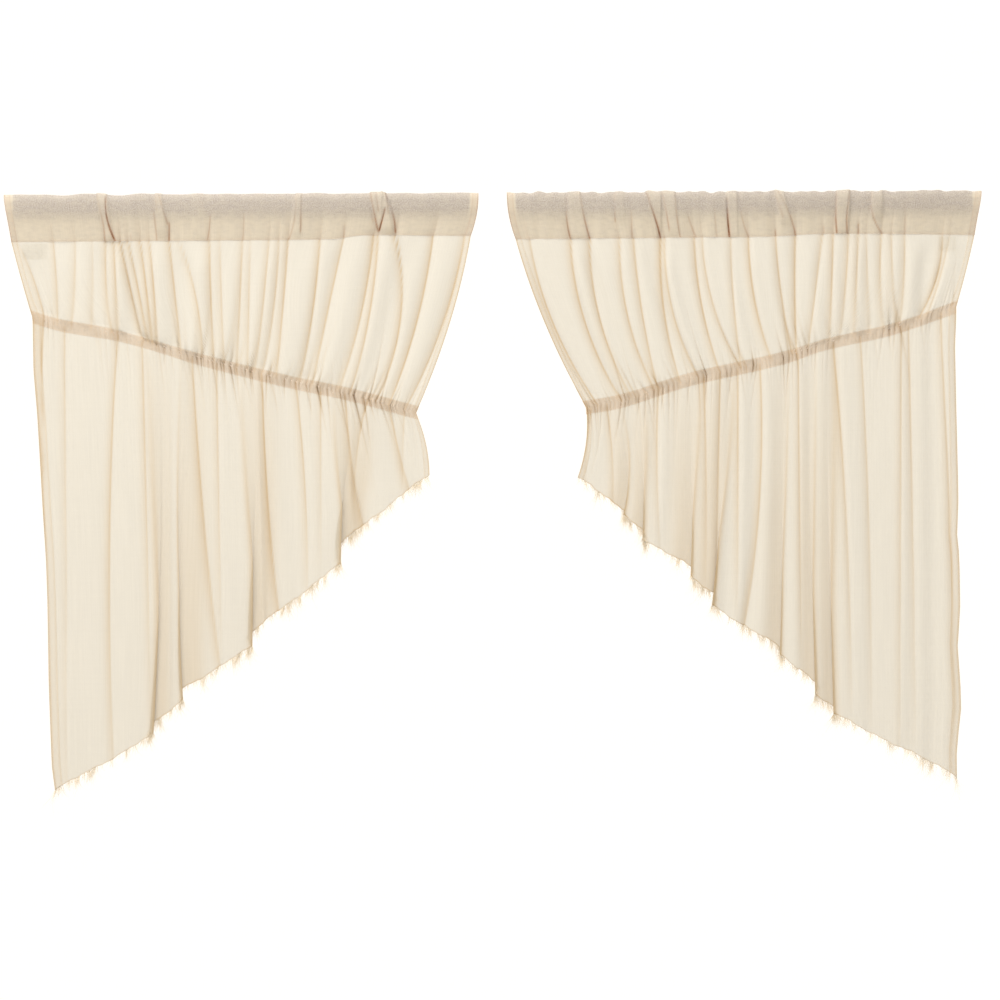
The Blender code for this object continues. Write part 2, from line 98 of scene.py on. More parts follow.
# Folds between the pocket seam and the band: one bracket a fold, in the order of Fold's fields.
# A negative depth is a ridge.
LEFT_UPPER = [Fold(*row) for row in (
    (20, 45, 60, 0.5, 3.5, 3, 6), (74, 79, 80, 3, 3.5, 3, 5), (107, 106, 101, 2, 3, 2.5, 7),
    (133, 133, 131, 1, 2, 2.5, 6), (153, 154, 163, 4, 4, 2.5, 7), (165, 169, 171, 4, 5, 4, 5),
    (175, 192, 210, 7.5, 7.5, 4.5, 5), (187, 204, 218, 4.5, 5, 3.5, 5), (205, 216, 224, 5, 5.5, 4, 6),
    (219, 227, 230, 4, 6, 5.5, 6), (249, 258, 267, 5, 5, 3, 7), (264, 291, 298, 1.5, 4, 3, 8),
    (310, 312, 316, 4, 5, 3, 6), (326, 328, 332, 1.5, 3, 2, 6), (360, 355, 350, 3, 4, 2.5, 6),
    (372, 369, 367, 1, 3, 2, 5), (400, 390, 377, 3, 4, 2.5, 6), (415, 406, 388, 3, 4, 2.5, 5),
    (429, 420, 410, 5, 5, 3, 6), (477, 465, 444, 5, 6, 3.5, 9), (513, 487, 464, 4, 5, 3, 11),
    (558, 538, 503, 5, 5, 3, 9), (565, 551, 521, 5, 5, 3, 8), (591, 598, 560, 6, 6, 3, 7),
    (648, 623, 580, 6, 7, 3.5, 11), (695, 662, 604, 3, 5, 3, 9),
)]
RIGHT_UPPER = [Fold(*row) for row in (
    (59, 68, 97, 2, 5, 2.5, 6), (48, 63, 85, 1, 3, 2, 5), (116, 118, 125, 3, 4, 2.5, 6),
    (136, 134, 127, 3, 3, 2, 5), (151, 153, 147, 4, 4, 2.5, 6), (174, 172, 169, 2, 3, 2, 6),
    (186, 190, 193, 4, 4, 2.5, 5), (201, 206, 216, 4, 4, 2.5, 6), (224, 227, 231, 5, 5, 3, 7),
    (240, 252, 263, 4, 4, 2.5, 7), (281, 282, 280, 6, 7, 3.5, 7), (311, 302, 286, 4, 5, 3, 6),
    (352, 343, 317, 5, 6, 3, 7), (379, 375, 364, 3, 4, 2.5, 5), (422, 406, 364, 3, 4, 2.5, 6),
    (434, 423, 396, 5, 6, 3, 8), (485, 480, 456, 6, 6, 3, 8), (479, 468, 429, 4, 4, 2.5, 6),
    (526, 513, 490, 5, 5, 3, 8), (547, 535, 494, 4, 5, 3, 6), (592, 577, 529, 6, 6, 3, 8),
    (621, 600, 544, 6, 7, 3.5, 9), (683, 648, 580, 3, 6, 3, 10),
)]

# Soft folds between the band and the hem
LEFT_LOWER = [Fold(*row) for row in (
    (58, 60, 64, 3, 1, 0, 5), (91, 92, 95, 2, 2, 1, 8), (171, 157, 162, 2, 5, 3, 14),
    (208, 214, 219, 2, 3, 0, 7), (246, 247, 246, -0.5, -4, -4, 11), (283, 299, 323, 2, 5, 4, 12),
    (320, 323, 326, 2, 2.5, 0, 6), (381, 385, 390, -1, -5, -6, 7), (389, 396, 412, 2.5, 6, 7, 10),
    (440, 453, 456, 2, 4, 1, 10), (477, 477, 477, 2, 2, 0, 8), (524, 522, 524, -1, -5, -2, 10),
    (514, 524, 540, 2.5, 3.5, 4, 5), (549, 529, 530, 3, 1.5, 0, 5), (580, 595, 610, 2, 4, 5, 12),
    (604, 601, 600, 1.5, 1.5, 0, 5),
)]
RIGHT_LOWER = [Fold(*row) for row in (
    (62, 50, 47, 2, 4, 2, 6), (111, 106, 104, 2, 3, 0, 6), (122, 125, 128, 2, 3, 1, 6),
    (184, 172, 170, 2, 3, 0, 8), (225, 206, 200, 3, 4, 0, 6), (278, 277, 275, 2, 3, 0, 5),
    (336, 337, 361, 2.5, 5, 6, 9), (369, 370, 372, 2, 4, 0, 6), (396, 400, 404, 3, 3, 1, 5),
    (421, 418, 420, 3, 2.5, 0, 5), (490, 492, 488, 2, 3.5, 1, 7), (568, 560, 559, 2, 3, 2, 7),
    (590, 597, 600, 1.5, 2, 1, 8),
)]

# Folds that lap over the next stretch of cloth and make the steps in the hem
LEFT_LAPS = [Lap(*row) for row in (
    (160, 214, 229, 234, 223, 10), (258, 312, 273, 262, 268, 10), (414, 483, 366, 373, 373, 12),
    (654, 749, 511, 510, 509, 15),
)]
RIGHT_LAPS = [Lap(*row) for row in (
    (189, 222, 230, 231, 227, 8), (252, 303, 255, 258, 256, 11), (373, 403, 293, 300, 308, 7),
    (521, 580, 384, 393, 411, 11), (612, 655, 431, 436, 443, 9), (726, 762, 516, 512, 515, 8),
    (797, 828, 552, 535, 544, 7),
)]

# Pleats that stand out of the pocket's front where it is bunched on the rod: the places of their
# two flanks at the top and at their low end, their height, and how far down they reach
LEFT_PLEATS = [Pleat(*row) for row in (
    (140, 156, 151, 166, 4.5, 1), (228, 239, 232, 248, 4, 0.85), (284, 302, 289, 307, 1.5, 1),
    (441, 451, 432, 448, 2.5, 0.9), (553, 572, 563, 567, 5, 0.85), (570, 577, 568, 590, 5.5, 0.9),
)]
RIGHT_PLEATS = [Pleat(*row) for row in (
    (150, 167, 150, 167, 3, 0.6), (199, 220, 202, 221, 5, 1), (299, 313, 282, 300, 4, 0.7),
    (370, 385, 368, 381, 3, 1), (463, 484, 456, 473, 4, 0.9), (484, 508, 485, 490, 4, 0.9),
    (541, 555, 536, 553, 1.5, 0.6), (606, 625, 592, 621, 3, 1),
)]

# Dark crease lines painted in the pocket's front as shade: their places at the top, the middle and the
# seam, the shares of the height between which they run, and how dark their painted shade is
LEFT_LINES = [Line(*row) for row in (
    (140, 149, 152, 0, 1, 0.45), (156, 156.5, 168, 0.05, 1, 1.3), (189, 190, 192, 0.85, 1, 0.3),
    (224, 228, 231, 0, 1, 0.45), (230, 233, 236, 0, 0.35, 0.4), (234, 245, 252, 0, 0.65, 0.6),
    (250, 250, 249, 0.6, 1, 0.7), (299, 302, 304, 0, 0.35, 0.25), (313, 312, 307, 0.4, 1, 0.4),
    (364, 363, 361, 0.4, 1, 0.3), (441, 440, 430, 0, 1, 0.4), (451, 449, 448, 0, 0.85, 0.6),
    (516, 515, 513, 0.7, 1, 0.3), (554, 560, 566, 0, 0.9, 0.9), (582, 574, 565, 0.35, 0.9, 1.2),
    (576, 588, 591, 0, 0.95, 1), (551, 556, 560, 0.1, 0.7, 0.4), (562, 567, 569, 0, 0.45, 0.6),
    (545, 550, 557, 0, 0.35, 0.45), (578, 581, 579, 0, 0.5, 0.45),
)]
RIGHT_LINES = [Line(*row) for row in (
    (115, 116, 116, 0.2, 1, 0.25), (166, 166, 150, 0, 1, 0.6), (175, 168, 160, 0, 0.45, 0.4),
    (188, 187, 186, 0.75, 1, 0.5), (199, 204, 203, 0, 1, 0.7), (220, 221, 219, 0, 1, 0.9),
    (240, 239, 238, 0.8, 1, 0.3), (315, 302, 296, 0, 0.6, 0.45), (309, 291, 281, 0, 1, 0.6),
    (314, 313, 311, 0.85, 1, 0.4), (366, 363, 352, 0, 1, 0.4), (386, 384, 381, 0.15, 1, 1.3),
    (403, 403, 400, 0, 1, 0.3), (450, 444, 431, 0.5, 1, 0.4), (463, 461, 455, 0, 1, 0.5),
    (484, 476, 471, 0, 0.85, 0.6), (508, 495, 485, 0, 1, 1.1), (530, 529, 528, 0.1, 1, 0.35),
    (555, 554, 552, 0, 0.65, 0.5), (606, 601, 592, 0, 1, 0.7), (626, 627, 621, 0, 1, 0.6),
)]

# Stretches of the band, in mm across, where the cloth is drawn up into fine gathers
LEFT_GATHERS = [Gather(*row) for row in (
    (44, 75, 0.7), (80, 140, 0.35), (140, 215, 0.6), (215, 290, 0.8), (290, 400, 1), (400, 470, 0.9),
    (470, 560, 1), (560, 621, 0.8),
)]
RIGHT_GATHERS = [Gather(*row) for row in (
    (40, 90, 0.7), (90, 140, 0.9), (140, 250, 0.5), (250, 300, 1), (300, 345, 0.5), (345, 385, 1),
    (385, 415, 0.5), (415, 480, 0.9), (480, 598, 1),
)]

# How far the outer edge below the band strays from its line: rows of drop and shift
LEFT_WAVY = [(190, 0), (265, -3.6), (330, -2.2), (470, -2.3), (550, -1.4), (610, -2.4), (740, -6.6),
             (860, -7.4), (898, -4)]
RIGHT_WAVY = [(180, 0), (235, 2.8), (330, 1.8), (464, -0.6), (525, 1.8), (549, -1.8), (632, -3.1),
              (686, 0.5), (774, -6), (842, 1), (898, 0)]

LEFT = Curtain(
    name="left", mirror=1, start=-TOP_WIDTH / 2,
    outer=Edge(0, 11, 26, 42, 62, 77), inner=Edge(717, 705, 672, 621, 636, 641),
    seam=[(0, 70), (490, 68), (545, 62), (717, 64)],
    band_drops=[(42, 183), (92, 197), (168, 210), (311, 252), (440, 285), (515, 301), (621, 331)],
    hem_drops=(898, 423), wavy=LEFT_WAVY, upper=LEFT_UPPER, lower=LEFT_LOWER, laps=LEFT_LAPS,
    pleats=LEFT_PLEATS, lines=LEFT_LINES, gathers=LEFT_GATHERS, label=((27, 64), (73, 96)), seed=3)
RIGHT = Curtain(
    name="right", mirror=-1, start=TOP_WIDTH * 1.5 + PAIR_GAP,
    outer=Edge(0, 11, 24, 39, 38, 41), inner=Edge(717, 704, 660, 598, 599, 612),
    seam=[(0, 66), (230, 63), (330, 67), (717, 69)],
    band_drops=[(38, 174), (140, 208), (240, 230), (296, 249), (440, 282), (553, 316), (598, 324)],
    hem_drops=(882, 429), wavy=RIGHT_WAVY, upper=RIGHT_UPPER, lower=RIGHT_LOWER, laps=RIGHT_LAPS,
    pleats=RIGHT_PLEATS, lines=RIGHT_LINES, gathers=RIGHT_GATHERS, label=((38, 64), (68, 90)), seed=8)


def smooth_through(where, xs, ys):
    """Values at `where` of a cubic curve through the points, with no overshoot between them."""
    xs, ys = np.asarray(xs, float), np.asarray(ys, float)
    step = np.diff(xs)
    rise = np.diff(ys) / step
    slope = np.zeros(len(xs))
    slope[0], slope[-1] = rise[0], rise[-1]
    same_way = rise[:-1] * rise[1:] > 0
    mean = 2 * rise[:-1] * rise[1:] / np.where(same_way, rise[:-1] + rise[1:], 1)
    slope[1:-1] = np.where(same_way, mean, 0)
    i = np.clip(np.searchsorted(xs, where, side="right") - 1, 0, len(step) - 1)
    h = step[i]
    f = (where - xs[i]) / h
    return ((1 + 2 * f) * (1 - f) ** 2 * ys[i] + f * (1 - f) ** 2 * h * slope[i]
            + f ** 2 * (3 - 2 * f) * ys[i + 1] - f ** 2 * (1 - f) * h * slope[i + 1])


def three_levels(f, top, mid, low):
    """Curve in f, 0 to 1, that passes through top, mid and low."""
    return (2 * (f - 0.5) * (f - 1) * top + 4 * f * (1 - f) * mid + 2 * f * (f - 0.5) * low)


def smooth_step(v):
    """0 below 0, 1 above 1, and the smooth cubic 3v^2 - 2v^3 between."""
    v = np.clip(v, 0, 1)
    return v * v * (3 - 2 * v)


def step_over(v, wide):
    """0 where v is well below 0, 1 where it is well above, and a smooth step of a width between."""
    return smooth_step(v / wide + 0.5)


def seam_drop(curtain, across):
    """Drop of the pocket seam at a place across the top."""
    return smooth_through(across, *zip(*curtain.seam))


def band_drop(curtain, across):
    """Drop of the band's middle line."""
    return smooth_through(across, *zip(*curtain.band_drops))


def hem_drop(curtain, cloth):
    """Drop of the raw hem, cut on a slant across the flat cloth by hand, so slightly wavy."""
    long_side, short_side = curtain.hem_drops
    wave = sum(high * np.sin(cloth / length + curtain.seed) for high, length in HEM_WAVES)
    return long_side + (short_side - long_side) * cloth / CLOTH_WIDTH + wave


def lap_turns(lap):
    """Radius of a lap's two turns, and the widths of cloth at the middle of each turn."""
    radius = lap.deep / 4
    run = (lap.back - lap.front - 1.5 * np.pi * radius - radius) / 2
    return radius, lap.front, lap.front + np.pi * radius + run


def turned(curtain, cloth):
    """How far the sheet's section has turned back on itself, from 0 to 1, at the hem."""
    total = np.zeros_like(cloth)
    for lap in curtain.laps:
        radius, first, second = lap_turns(lap)
        for middle, sign in ((first, 1), (second, -1)):
            v = np.clip((cloth - middle) / (np.pi * radius), -0.5, 0.5)
            total += sign * (0.5 + v + np.sin(2 * np.pi * v) / (2 * np.pi))
    return total


def running_sum(values, step):
    """Integral of evenly spaced values from the first one on."""
    return np.concatenate([[0], np.cumsum((values[1:] + values[:-1]) / 2 * step)])


def hung_section(curtain, f):
    """Across and depth along the whole cloth at f, 0 at the band to 1 at the hem.

    The path turns by the opened angle at each lap. Its speed across is scaled between laps
    so that each front edge lies where the table says, and its depth is levelled at the laps.
    """
    fine = np.linspace(0, CLOTH_WIDTH, SECTION_STEPS)
    step = fine[1] - fine[0]
    angle = FULL_TURN * np.sin(np.pi / 2 * f) ** OPENING * turned(curtain, fine)
    run, back = running_sum(np.cos(angle), step), running_sum(np.sin(angle), step)
    knots, runs, places = [0.0], [0.0], [three_levels(f, *curtain.outer[3:])]
    for lap in curtain.laps:
        middle = sum(lap_turns(lap)[1:]) / 2
        at_middle = np.interp(middle, fine, run)
        ahead = run[(fine > lap.front - lap.deep) & (fine <= middle)].max() - at_middle
        knots.append(middle)
        runs.append(at_middle)
        places.append(three_levels(f, lap.at_band, lap.at_mid, lap.at_hem) - ahead)
    knots.append(CLOTH_WIDTH)
    runs.append(run[-1])
    places.append(three_levels(f, *curtain.inner[3:]))
    across = np.empty_like(fine)
    for i in range(len(knots) - 1):
        part = (fine >= knots[i]) & (fine <= knots[i + 1])
        scale = (places[i + 1] - places[i]) / (runs[i + 1] - runs[i])
        across[part] = places[i] + (run[part] - runs[i]) * scale
    drift = smooth_through(fine, knots, np.interp(knots, fine, back))
    return fine, across, (back - drift) * LAP_CLOSENESS


def below_band(curtain, cloth, f):
    """Across and depth of rows of cloth below the band, one row for each f, before soft folds."""
    rows = [hung_section(curtain, level) for level in f]
    across = np.array([np.interp(cloth, fine, line) for fine, line, _ in rows])
    depth = np.array([np.interp(cloth, fine, line) for fine, _, line in rows])
    return across, depth


# Section of a valley: the roundness of its floor, the rates at which its two sides ease out, and the
# height and half width of the low bell that levels its rim. The side towards +X is the steep one,
# so each stretch between two folds leans as it does on the real cloth.
Section = namedtuple("Section", "floor steep long rim_high rim_wide")
FOLD_SECTION = Section(floor=0.18, steep=1.6, long=0.5, rim_high=0.42, rim_wide=3.2)
PUCKER_SECTION = Section(floor=0.2, steep=1.3, long=1.3, rim_high=0.45, rim_wide=2.2)

# Painted shade in a valley, together with the cloth's closing up there: half widths of the tight core
# and of the soft skirt on the long and on the steep side, and how strong core and skirt are
Shade = namedtuple("Shade", "core long steep sharp soft")
FOLD_SHADE = Shade(core=1.5, long=8.0, steep=1.3, sharp=0.27, soft=0.26)
PUCKER_SHADE = Shade(core=0.8, long=3.4, steep=1.0, sharp=0.36, soft=0.15)

# Depth at which a fold's painted shade is full, and the power with which it grows up to it
DEEP_FOLD = 6.0
DEPTH_POWER = 0.75


def bell(v):
    """The bell curve exp(-v^2)."""
    return np.exp(-v ** 2)


def valley(v, section):
    """Section of a fold or pucker: a valley with a narrow rounded floor and a rate for each side.

    exp(-rate * (sqrt(v^2 + floor^2) - floor)), less a wide low bell that levels its rim.
    """
    rate = np.where(v > 0, section.steep, section.long)
    sides = np.exp(-rate * (np.sqrt(v ** 2 + section.floor ** 2) - section.floor))
    return sides - section.rim_high * bell(v / section.rim_wide)


def shaded(away, shade, sharp, soft):
    """Painted shade, with the cloth's closing up, at a distance from a valley's floor: core plus soft
    skirt.
    """
    skirt = np.where(away < 0, shade.long, shade.steep)
    return sharp * bell(away / shade.core) + soft * bell(away / skirt)


def folds_at(curtain, folds, across, f, sharp=FOLD_SHADE.sharp, soft=FOLD_SHADE.soft):
    """Depth of all folds of a table at f, and the painted shade in their valleys, with the cloth's closing
    up.
    """
    depth, closed = np.zeros_like(across), np.zeros_like(across)
    for fold in folds:
        line = three_levels(f, fold.at_top, fold.at_mid, fold.at_low)
        deep = three_levels(f, fold.deep_top, fold.deep_mid, fold.deep_low)
        away = (across - line) * curtain.mirror
        depth += deep * valley(away / fold.wide, FOLD_SECTION)
        share = np.clip(deep / DEEP_FOLD, 0, 1) ** DEPTH_POWER
        # Painted shade in the fold's valley, growing with its depth
        closed += share * shaded(away, FOLD_SHADE, sharp, soft)
    return depth, closed


# Painted shade, with the cloth's extra layers, over a lap and at its front edge, the power of f with
# which that sets in, and the reaches over which it fades: before the lap, after it, and beside its
# front edge
LAP_SHADE = 0.23
LAP_EDGE_SHADE = 0.28
LAP_SETS_IN = 0.7
LAP_BEFORE = 5
LAP_AFTER = 22
LAP_EDGE = 7


def lap_shade_and_layers(curtain, cloth, f):
    """Painted shade and extra layers of cloth along its laps: most at each front edge."""
    total = np.zeros_like(f * cloth)
    for lap in curtain.laps:
        before = np.exp(-np.clip(lap.front - cloth, 0, None) / LAP_BEFORE)
        after = bell(np.clip(cloth - lap.back, 0, None) / LAP_AFTER)
        edge = bell((cloth - lap.front) / LAP_EDGE)
        # Painted shade over the lap and beside its front edge, with its extra layers
        total += f ** LAP_SETS_IN * (LAP_SHADE * before * after + LAP_EDGE_SHADE * edge)
    return total


# Broad swells of the hanging cloth: how many waves, and the ranges of their length and height
SWELLS = 7
SWELL_LONG = (26.0, 95.0)
SWELL_HIGH = (0.4, 1.4)

# Range of the random phases and turns, a full circle in radians
PHASES = (0, 6.3)


def swell(curtain, place, seed):
    """Broad uneven undulation along the cloth: a seeded sum of sines of the place on the band."""
    rng = np.random.default_rng(seed)
    total = np.zeros_like(place)
    for _ in range(SWELLS):
        length, high, phase = rng.uniform(*SWELL_LONG), rng.uniform(*SWELL_HIGH), rng.uniform(*PHASES)
        total += high * np.sin(2 * np.pi * place / length + phase)
    return total


# Fine puckers that the band draws the cloth up into: their pitch along the band and how far they
# stray from it, and the ranges of their depth, half width and reach above and below the band
PUCKER_PITCH = 5.6
PUCKER_STRAY = 1.6
PUCKER_DEEP = (3.3, 6.3)
PUCKER_WIDE = (1.3, 2.8)
PUCKER_REACH = (9.0, 75.0)

# Two numbers of the beta distribution that makes most reaches short, the range of a pucker's share
# of its gather's strength, the spread of its lean, and the powers with which it fades and with
# which its painted shade grows
PUCKER_SPREAD = (1.3, 2.2)
PUCKER_STRONG = (0.35, 1.0)
PUCKER_LEAN = 0.09
PUCKER_FADE = 1.5
PUCKER_GROWTH = 1.6


def fanned(curtain, across, f, levels):
    """Place on the band from which an evenly fanned line leads to the place across at f."""
    outer, inner = three_levels(f, *curtain.outer[levels]), three_levels(f, *curtain.inner[levels])
    share = (across - outer) / (inner - outer)
    return curtain.outer.band + share * (curtain.inner.band - curtain.outer.band)


def puckers(curtain, place, away):
    """Depth and painted shade of the puckers, each a short crease along an evenly fanned line.

    They stand along the band as closely as the gather table says, jittered by a seeded random
    number, and each fades as exp(-(away / reach)^power) above and below the band.
    """
    rng = np.random.default_rng(curtain.seed)
    depth, closed = np.zeros_like(away), np.zeros_like(away)
    shortest, longest = PUCKER_REACH
    for gather in curtain.gathers:
        count = int((gather.end - gather.start) / PUCKER_PITCH)
        spots = np.linspace(gather.start, gather.end, count) + rng.normal(0, PUCKER_STRAY, count)
        for spot in spots:
            strong = gather.strong * rng.uniform(*PUCKER_STRONG)
            wide, lean = rng.uniform(*PUCKER_WIDE), rng.normal(0, PUCKER_LEAN)
            beside = (place - spot - lean * away) * curtain.mirror
            above, below = shortest + (longest - shortest) * rng.beta(*PUCKER_SPREAD, 2)
            fade = np.exp(-(np.abs(away) / np.where(away < 0, above, below)) ** PUCKER_FADE)
            deep = strong * rng.uniform(*PUCKER_DEEP)
            depth += deep * fade * valley(beside / wide, PUCKER_SECTION)
            # Painted shade in the pucker's valley, stronger where it gathers harder
            tone = shaded(beside, PUCKER_SHADE, PUCKER_SHADE.sharp, PUCKER_SHADE.soft)
            closed += strong ** PUCKER_GROWTH * fade * tone
    return depth, closed


# Gap between the pocket seam and the panel's top row
TOP_GAP = 0.1

# Height over which the folds above the band turn into those below it, and the share of their depth
# that is left on the band, where the stitching holds them
MEETING = 16
LEFT_ON_BAND = 0.35

# Drop below the seam over which the broad swells set in, their share below the band, and what is
# added to a curtain's seed for those above and below it
SWELL_IN = 50
SWELL_BELOW = 0.7
SWELL_SEEDS = (60, 80)

# How strong the painted shade in the tight core of a fold below the band is at the hem, what it gains
# up to the band, and how strong its soft painted shade is
CORE_AT_HEM = 0.08
CORE_GAIN = 0.4
SOFT_BELOW = 0.28

# Width of cloth over which the straying of the outer edge dies out
STRAY_WIDE = 35


def edge_to_edge(curtain, share, level):
    """Place across at a share of the way from the outer to the inner edge, at a named level."""
    outer, inner = getattr(curtain.outer, level), getattr(curtain.inner, level)
    return outer + (inner - outer) * share


def folds_above(curtain, above, f, place, from_seam):
    """Depth of the folds and swells between the pocket seam and the band, and the folds' painted shade."""
    depth, closed = folds_at(curtain, curtain.upper, above, f)
    swells = swell(curtain, place, curtain.seed + SWELL_SEEDS[0])
    return depth + swells * smooth_step(from_seam / SWELL_IN), closed


def folds_below(curtain, below, f, place, cloth):
    """Depth of the soft folds and swells between the band and the hem, and painted shade of folds and laps.
    """
    sharp = CORE_AT_HEM + CORE_GAIN * (1 - f) ** 2
    depth, closed = folds_at(curtain, curtain.lower, below, f, sharp, SOFT_BELOW)
    depth = depth + SWELL_BELOW * swell(curtain, place, curtain.seed + SWELL_SEEDS[1])
    return depth, closed + lap_shade_and_layers(curtain, cloth, f)


def sheet(curtain, cloth, level):
    """Middle surface of the hanging cloth on a grid of rows of one level each.

    Gives across, drop and depth, and the painted shade of folds, puckers and laps where the cloth is
    closed up, 0 to about 1. A column of cloth runs on a curve from the seam to the band, and below it
    where the laps put it. The depth is that of the folds, which turn into each other at the band, plus
    the puckers and the laps.
    """
    level = np.asarray(level, float)[:, None]
    cloth = np.broadcast_to(cloth, (len(level), len(cloth)))
    at_seam, at_upper = (edge_to_edge(curtain, cloth / CLOTH_WIDTH, name) for name in ("seam", "upper"))
    at_band = np.broadcast_to(below_band(curtain, cloth[0], [0.0])[0], cloth.shape)
    f_up, f_low = np.clip(level, 0, 1), np.clip(level - 1, 0, 1)
    above = three_levels(f_up, at_seam, at_upper, at_band)
    below, lap_depth = below_band(curtain, cloth[0], f_low[:, 0])
    top, mid = seam_drop(curtain, at_seam) + TOP_GAP, band_drop(curtain, at_band)
    low = hem_drop(curtain, cloth)
    is_upper = level < 1
    drop = np.where(is_upper, top + (mid - top) * f_up, mid + (low - mid) * f_low)
    place = np.where(is_upper, fanned(curtain, above, f_up, slice(1, 4)),
                     fanned(curtain, below, f_low, slice(3, 6)))
    upper_depth, upper_packing_and_shade = folds_above(curtain, above, f_up, place, drop - top)
    lower_depth, lower_packing_and_shade = folds_below(curtain, below, f_low, place, cloth)
    gather_depth, gather_packing_and_shade = puckers(curtain, place, drop - mid)
    below_share = step_over(drop - mid, MEETING)
    depth = upper_depth + (lower_depth - upper_depth) * below_share
    kept = LEFT_ON_BAND + (1 - LEFT_ON_BAND) * smooth_step(np.abs(drop - mid) / MEETING)
    depth = depth * kept + gather_depth + lap_depth
    # Painted shade of folds, puckers and laps, with the cloth's closing up
    closed = upper_packing_and_shade + (lower_packing_and_shade - upper_packing_and_shade) * below_share + gather_packing_and_shade
    stray = np.interp(drop, *zip(*curtain.wavy)) * np.exp(-cloth / STRAY_WIDE) * (drop > mid)
    across = np.where(is_upper, above, below + stray)
    return across, drop, depth, closed


def to_space(curtain, across, drop, depth):
    """World places in metres of points given as across, drop and depth."""
    x = curtain.start + curtain.mirror * across
    return np.stack([x * MM, depth * MM, -drop * MM], axis=-1)


def backward(curtain, points):
    """Unit normals of a surface grid, turned away from the viewer on flat stretches."""
    along = np.gradient(points, axis=1)
    down = np.gradient(points, axis=0)
    normal = np.cross(along, down) * curtain.mirror
    return normal / np.linalg.norm(normal, axis=2, keepdims=True)


# Width over which a turned side hem steps down to the single cloth, how close it looks all over,
# at its folded edge and along its stitching, and the half widths of those two lines
HEM_STEP = 1.6
HEM_TONE = 0.09
HEM_EDGE_TONE = 0.4
HEM_STITCH_TONE = 0.14
HEM_EDGE_WIDE = 1.5
HEM_STITCH_WIDE = 1.0


def hem_share(cloth):
    """1 on the turned side hems, 0 on the single cloth, with a short step between."""
    edge = np.minimum(cloth, CLOTH_WIDTH - cloth)
    return smooth_step((SIDE_HEM + HEM_STEP / 2 - edge) / HEM_STEP)


def hem_tone(cloth):
    """How much closer the turned hem looks: strongest at its folded edge and along its stitching."""
    edge = np.minimum(cloth, CLOTH_WIDTH - cloth)
    folded = HEM_EDGE_TONE * bell(edge / HEM_EDGE_WIDE)
    stitched = HEM_STITCH_TONE * bell((edge - SIDE_HEM + 1) / HEM_STITCH_WIDE)
    return np.clip(HEM_TONE * hem_share(cloth) + folded + stitched, 0, 1)


# Columns of cloth on a side hem, rows just above the raw hem as gaps in level, and the powers with
# which the rows above and below the band draw together towards it
HEM_COLUMNS = np.array([0, 4, 8, 11.2, 12, 12.5])
HEM_ROWS = np.array([0.016, 0.006, 0.0025])
ABOVE_POWER = 1.6
BELOW_POWER = 1.85


def panel_columns():
    """Widths of cloth of the panel's columns: even, with more of them at the side hems."""
    inside = np.linspace(SIDE_HEM + 1, CLOTH_WIDTH - SIDE_HEM - 1, COLUMNS - 2 * len(HEM_COLUMNS))
    return np.concatenate([HEM_COLUMNS, inside, CLOTH_WIDTH - HEM_COLUMNS[::-1]])


def panel_levels():
    """Levels of the panel's rows, closer together towards the band from both sides."""
    above = 1 - np.linspace(1, 0, ROWS_ABOVE, endpoint=False) ** ABOVE_POWER
    below = 1 + np.linspace(0, 1, ROWS_BELOW) ** BELOW_POWER
    return np.concatenate([above, below[:-1], 2 - HEM_ROWS, below[-1:]])


def grid_quads(rows, cols, offset=0):
    """Vertex numbers of the quads of a grid of points stored row by row."""
    a = offset + np.arange(rows - 1)[:, None] * cols + np.arange(cols - 1)
    return np.stack([a, a + 1, a + cols + 1, a + cols], axis=-1).reshape(-1, 4)


def closed_sheet(front, back):
    """Vertices and quads of the closed sheet between two equal grids of points."""
    rows, cols = front.shape[:2]
    size = rows * cols
    number = np.arange(size).reshape(rows, cols)
    rim = np.concatenate([number[0], number[1:, -1], number[-1, -2::-1], number[-2:0:-1, 0]])
    after = np.roll(rim, -1)
    walls = np.stack([after, rim, size + rim, size + after], axis=-1)
    quads = np.concatenate([grid_quads(rows, cols), grid_quads(rows, cols, size)[:, ::-1], walls])
    return np.concatenate([front.reshape(-1, 3), back.reshape(-1, 3)]), quads


def facing_out(verts, faces):
    """The faces of a closed mesh, all turned round if its signed volume is negative."""
    a, b, c = (verts[faces[:, i]] for i in (0, 1, 2))
    volume = np.einsum("ij,ij->i", a, np.cross(b, c)).sum()
    if faces.shape[1] == 4:
        d = verts[faces[:, 3]]
        volume += np.einsum("ij,ij->i", a, np.cross(c, d)).sum()
    return faces if volume > 0 else faces[:, ::-1]


# Angle from which an edge is a rim, and is shaded sharp
RIM_ANGLE = np.radians(62)


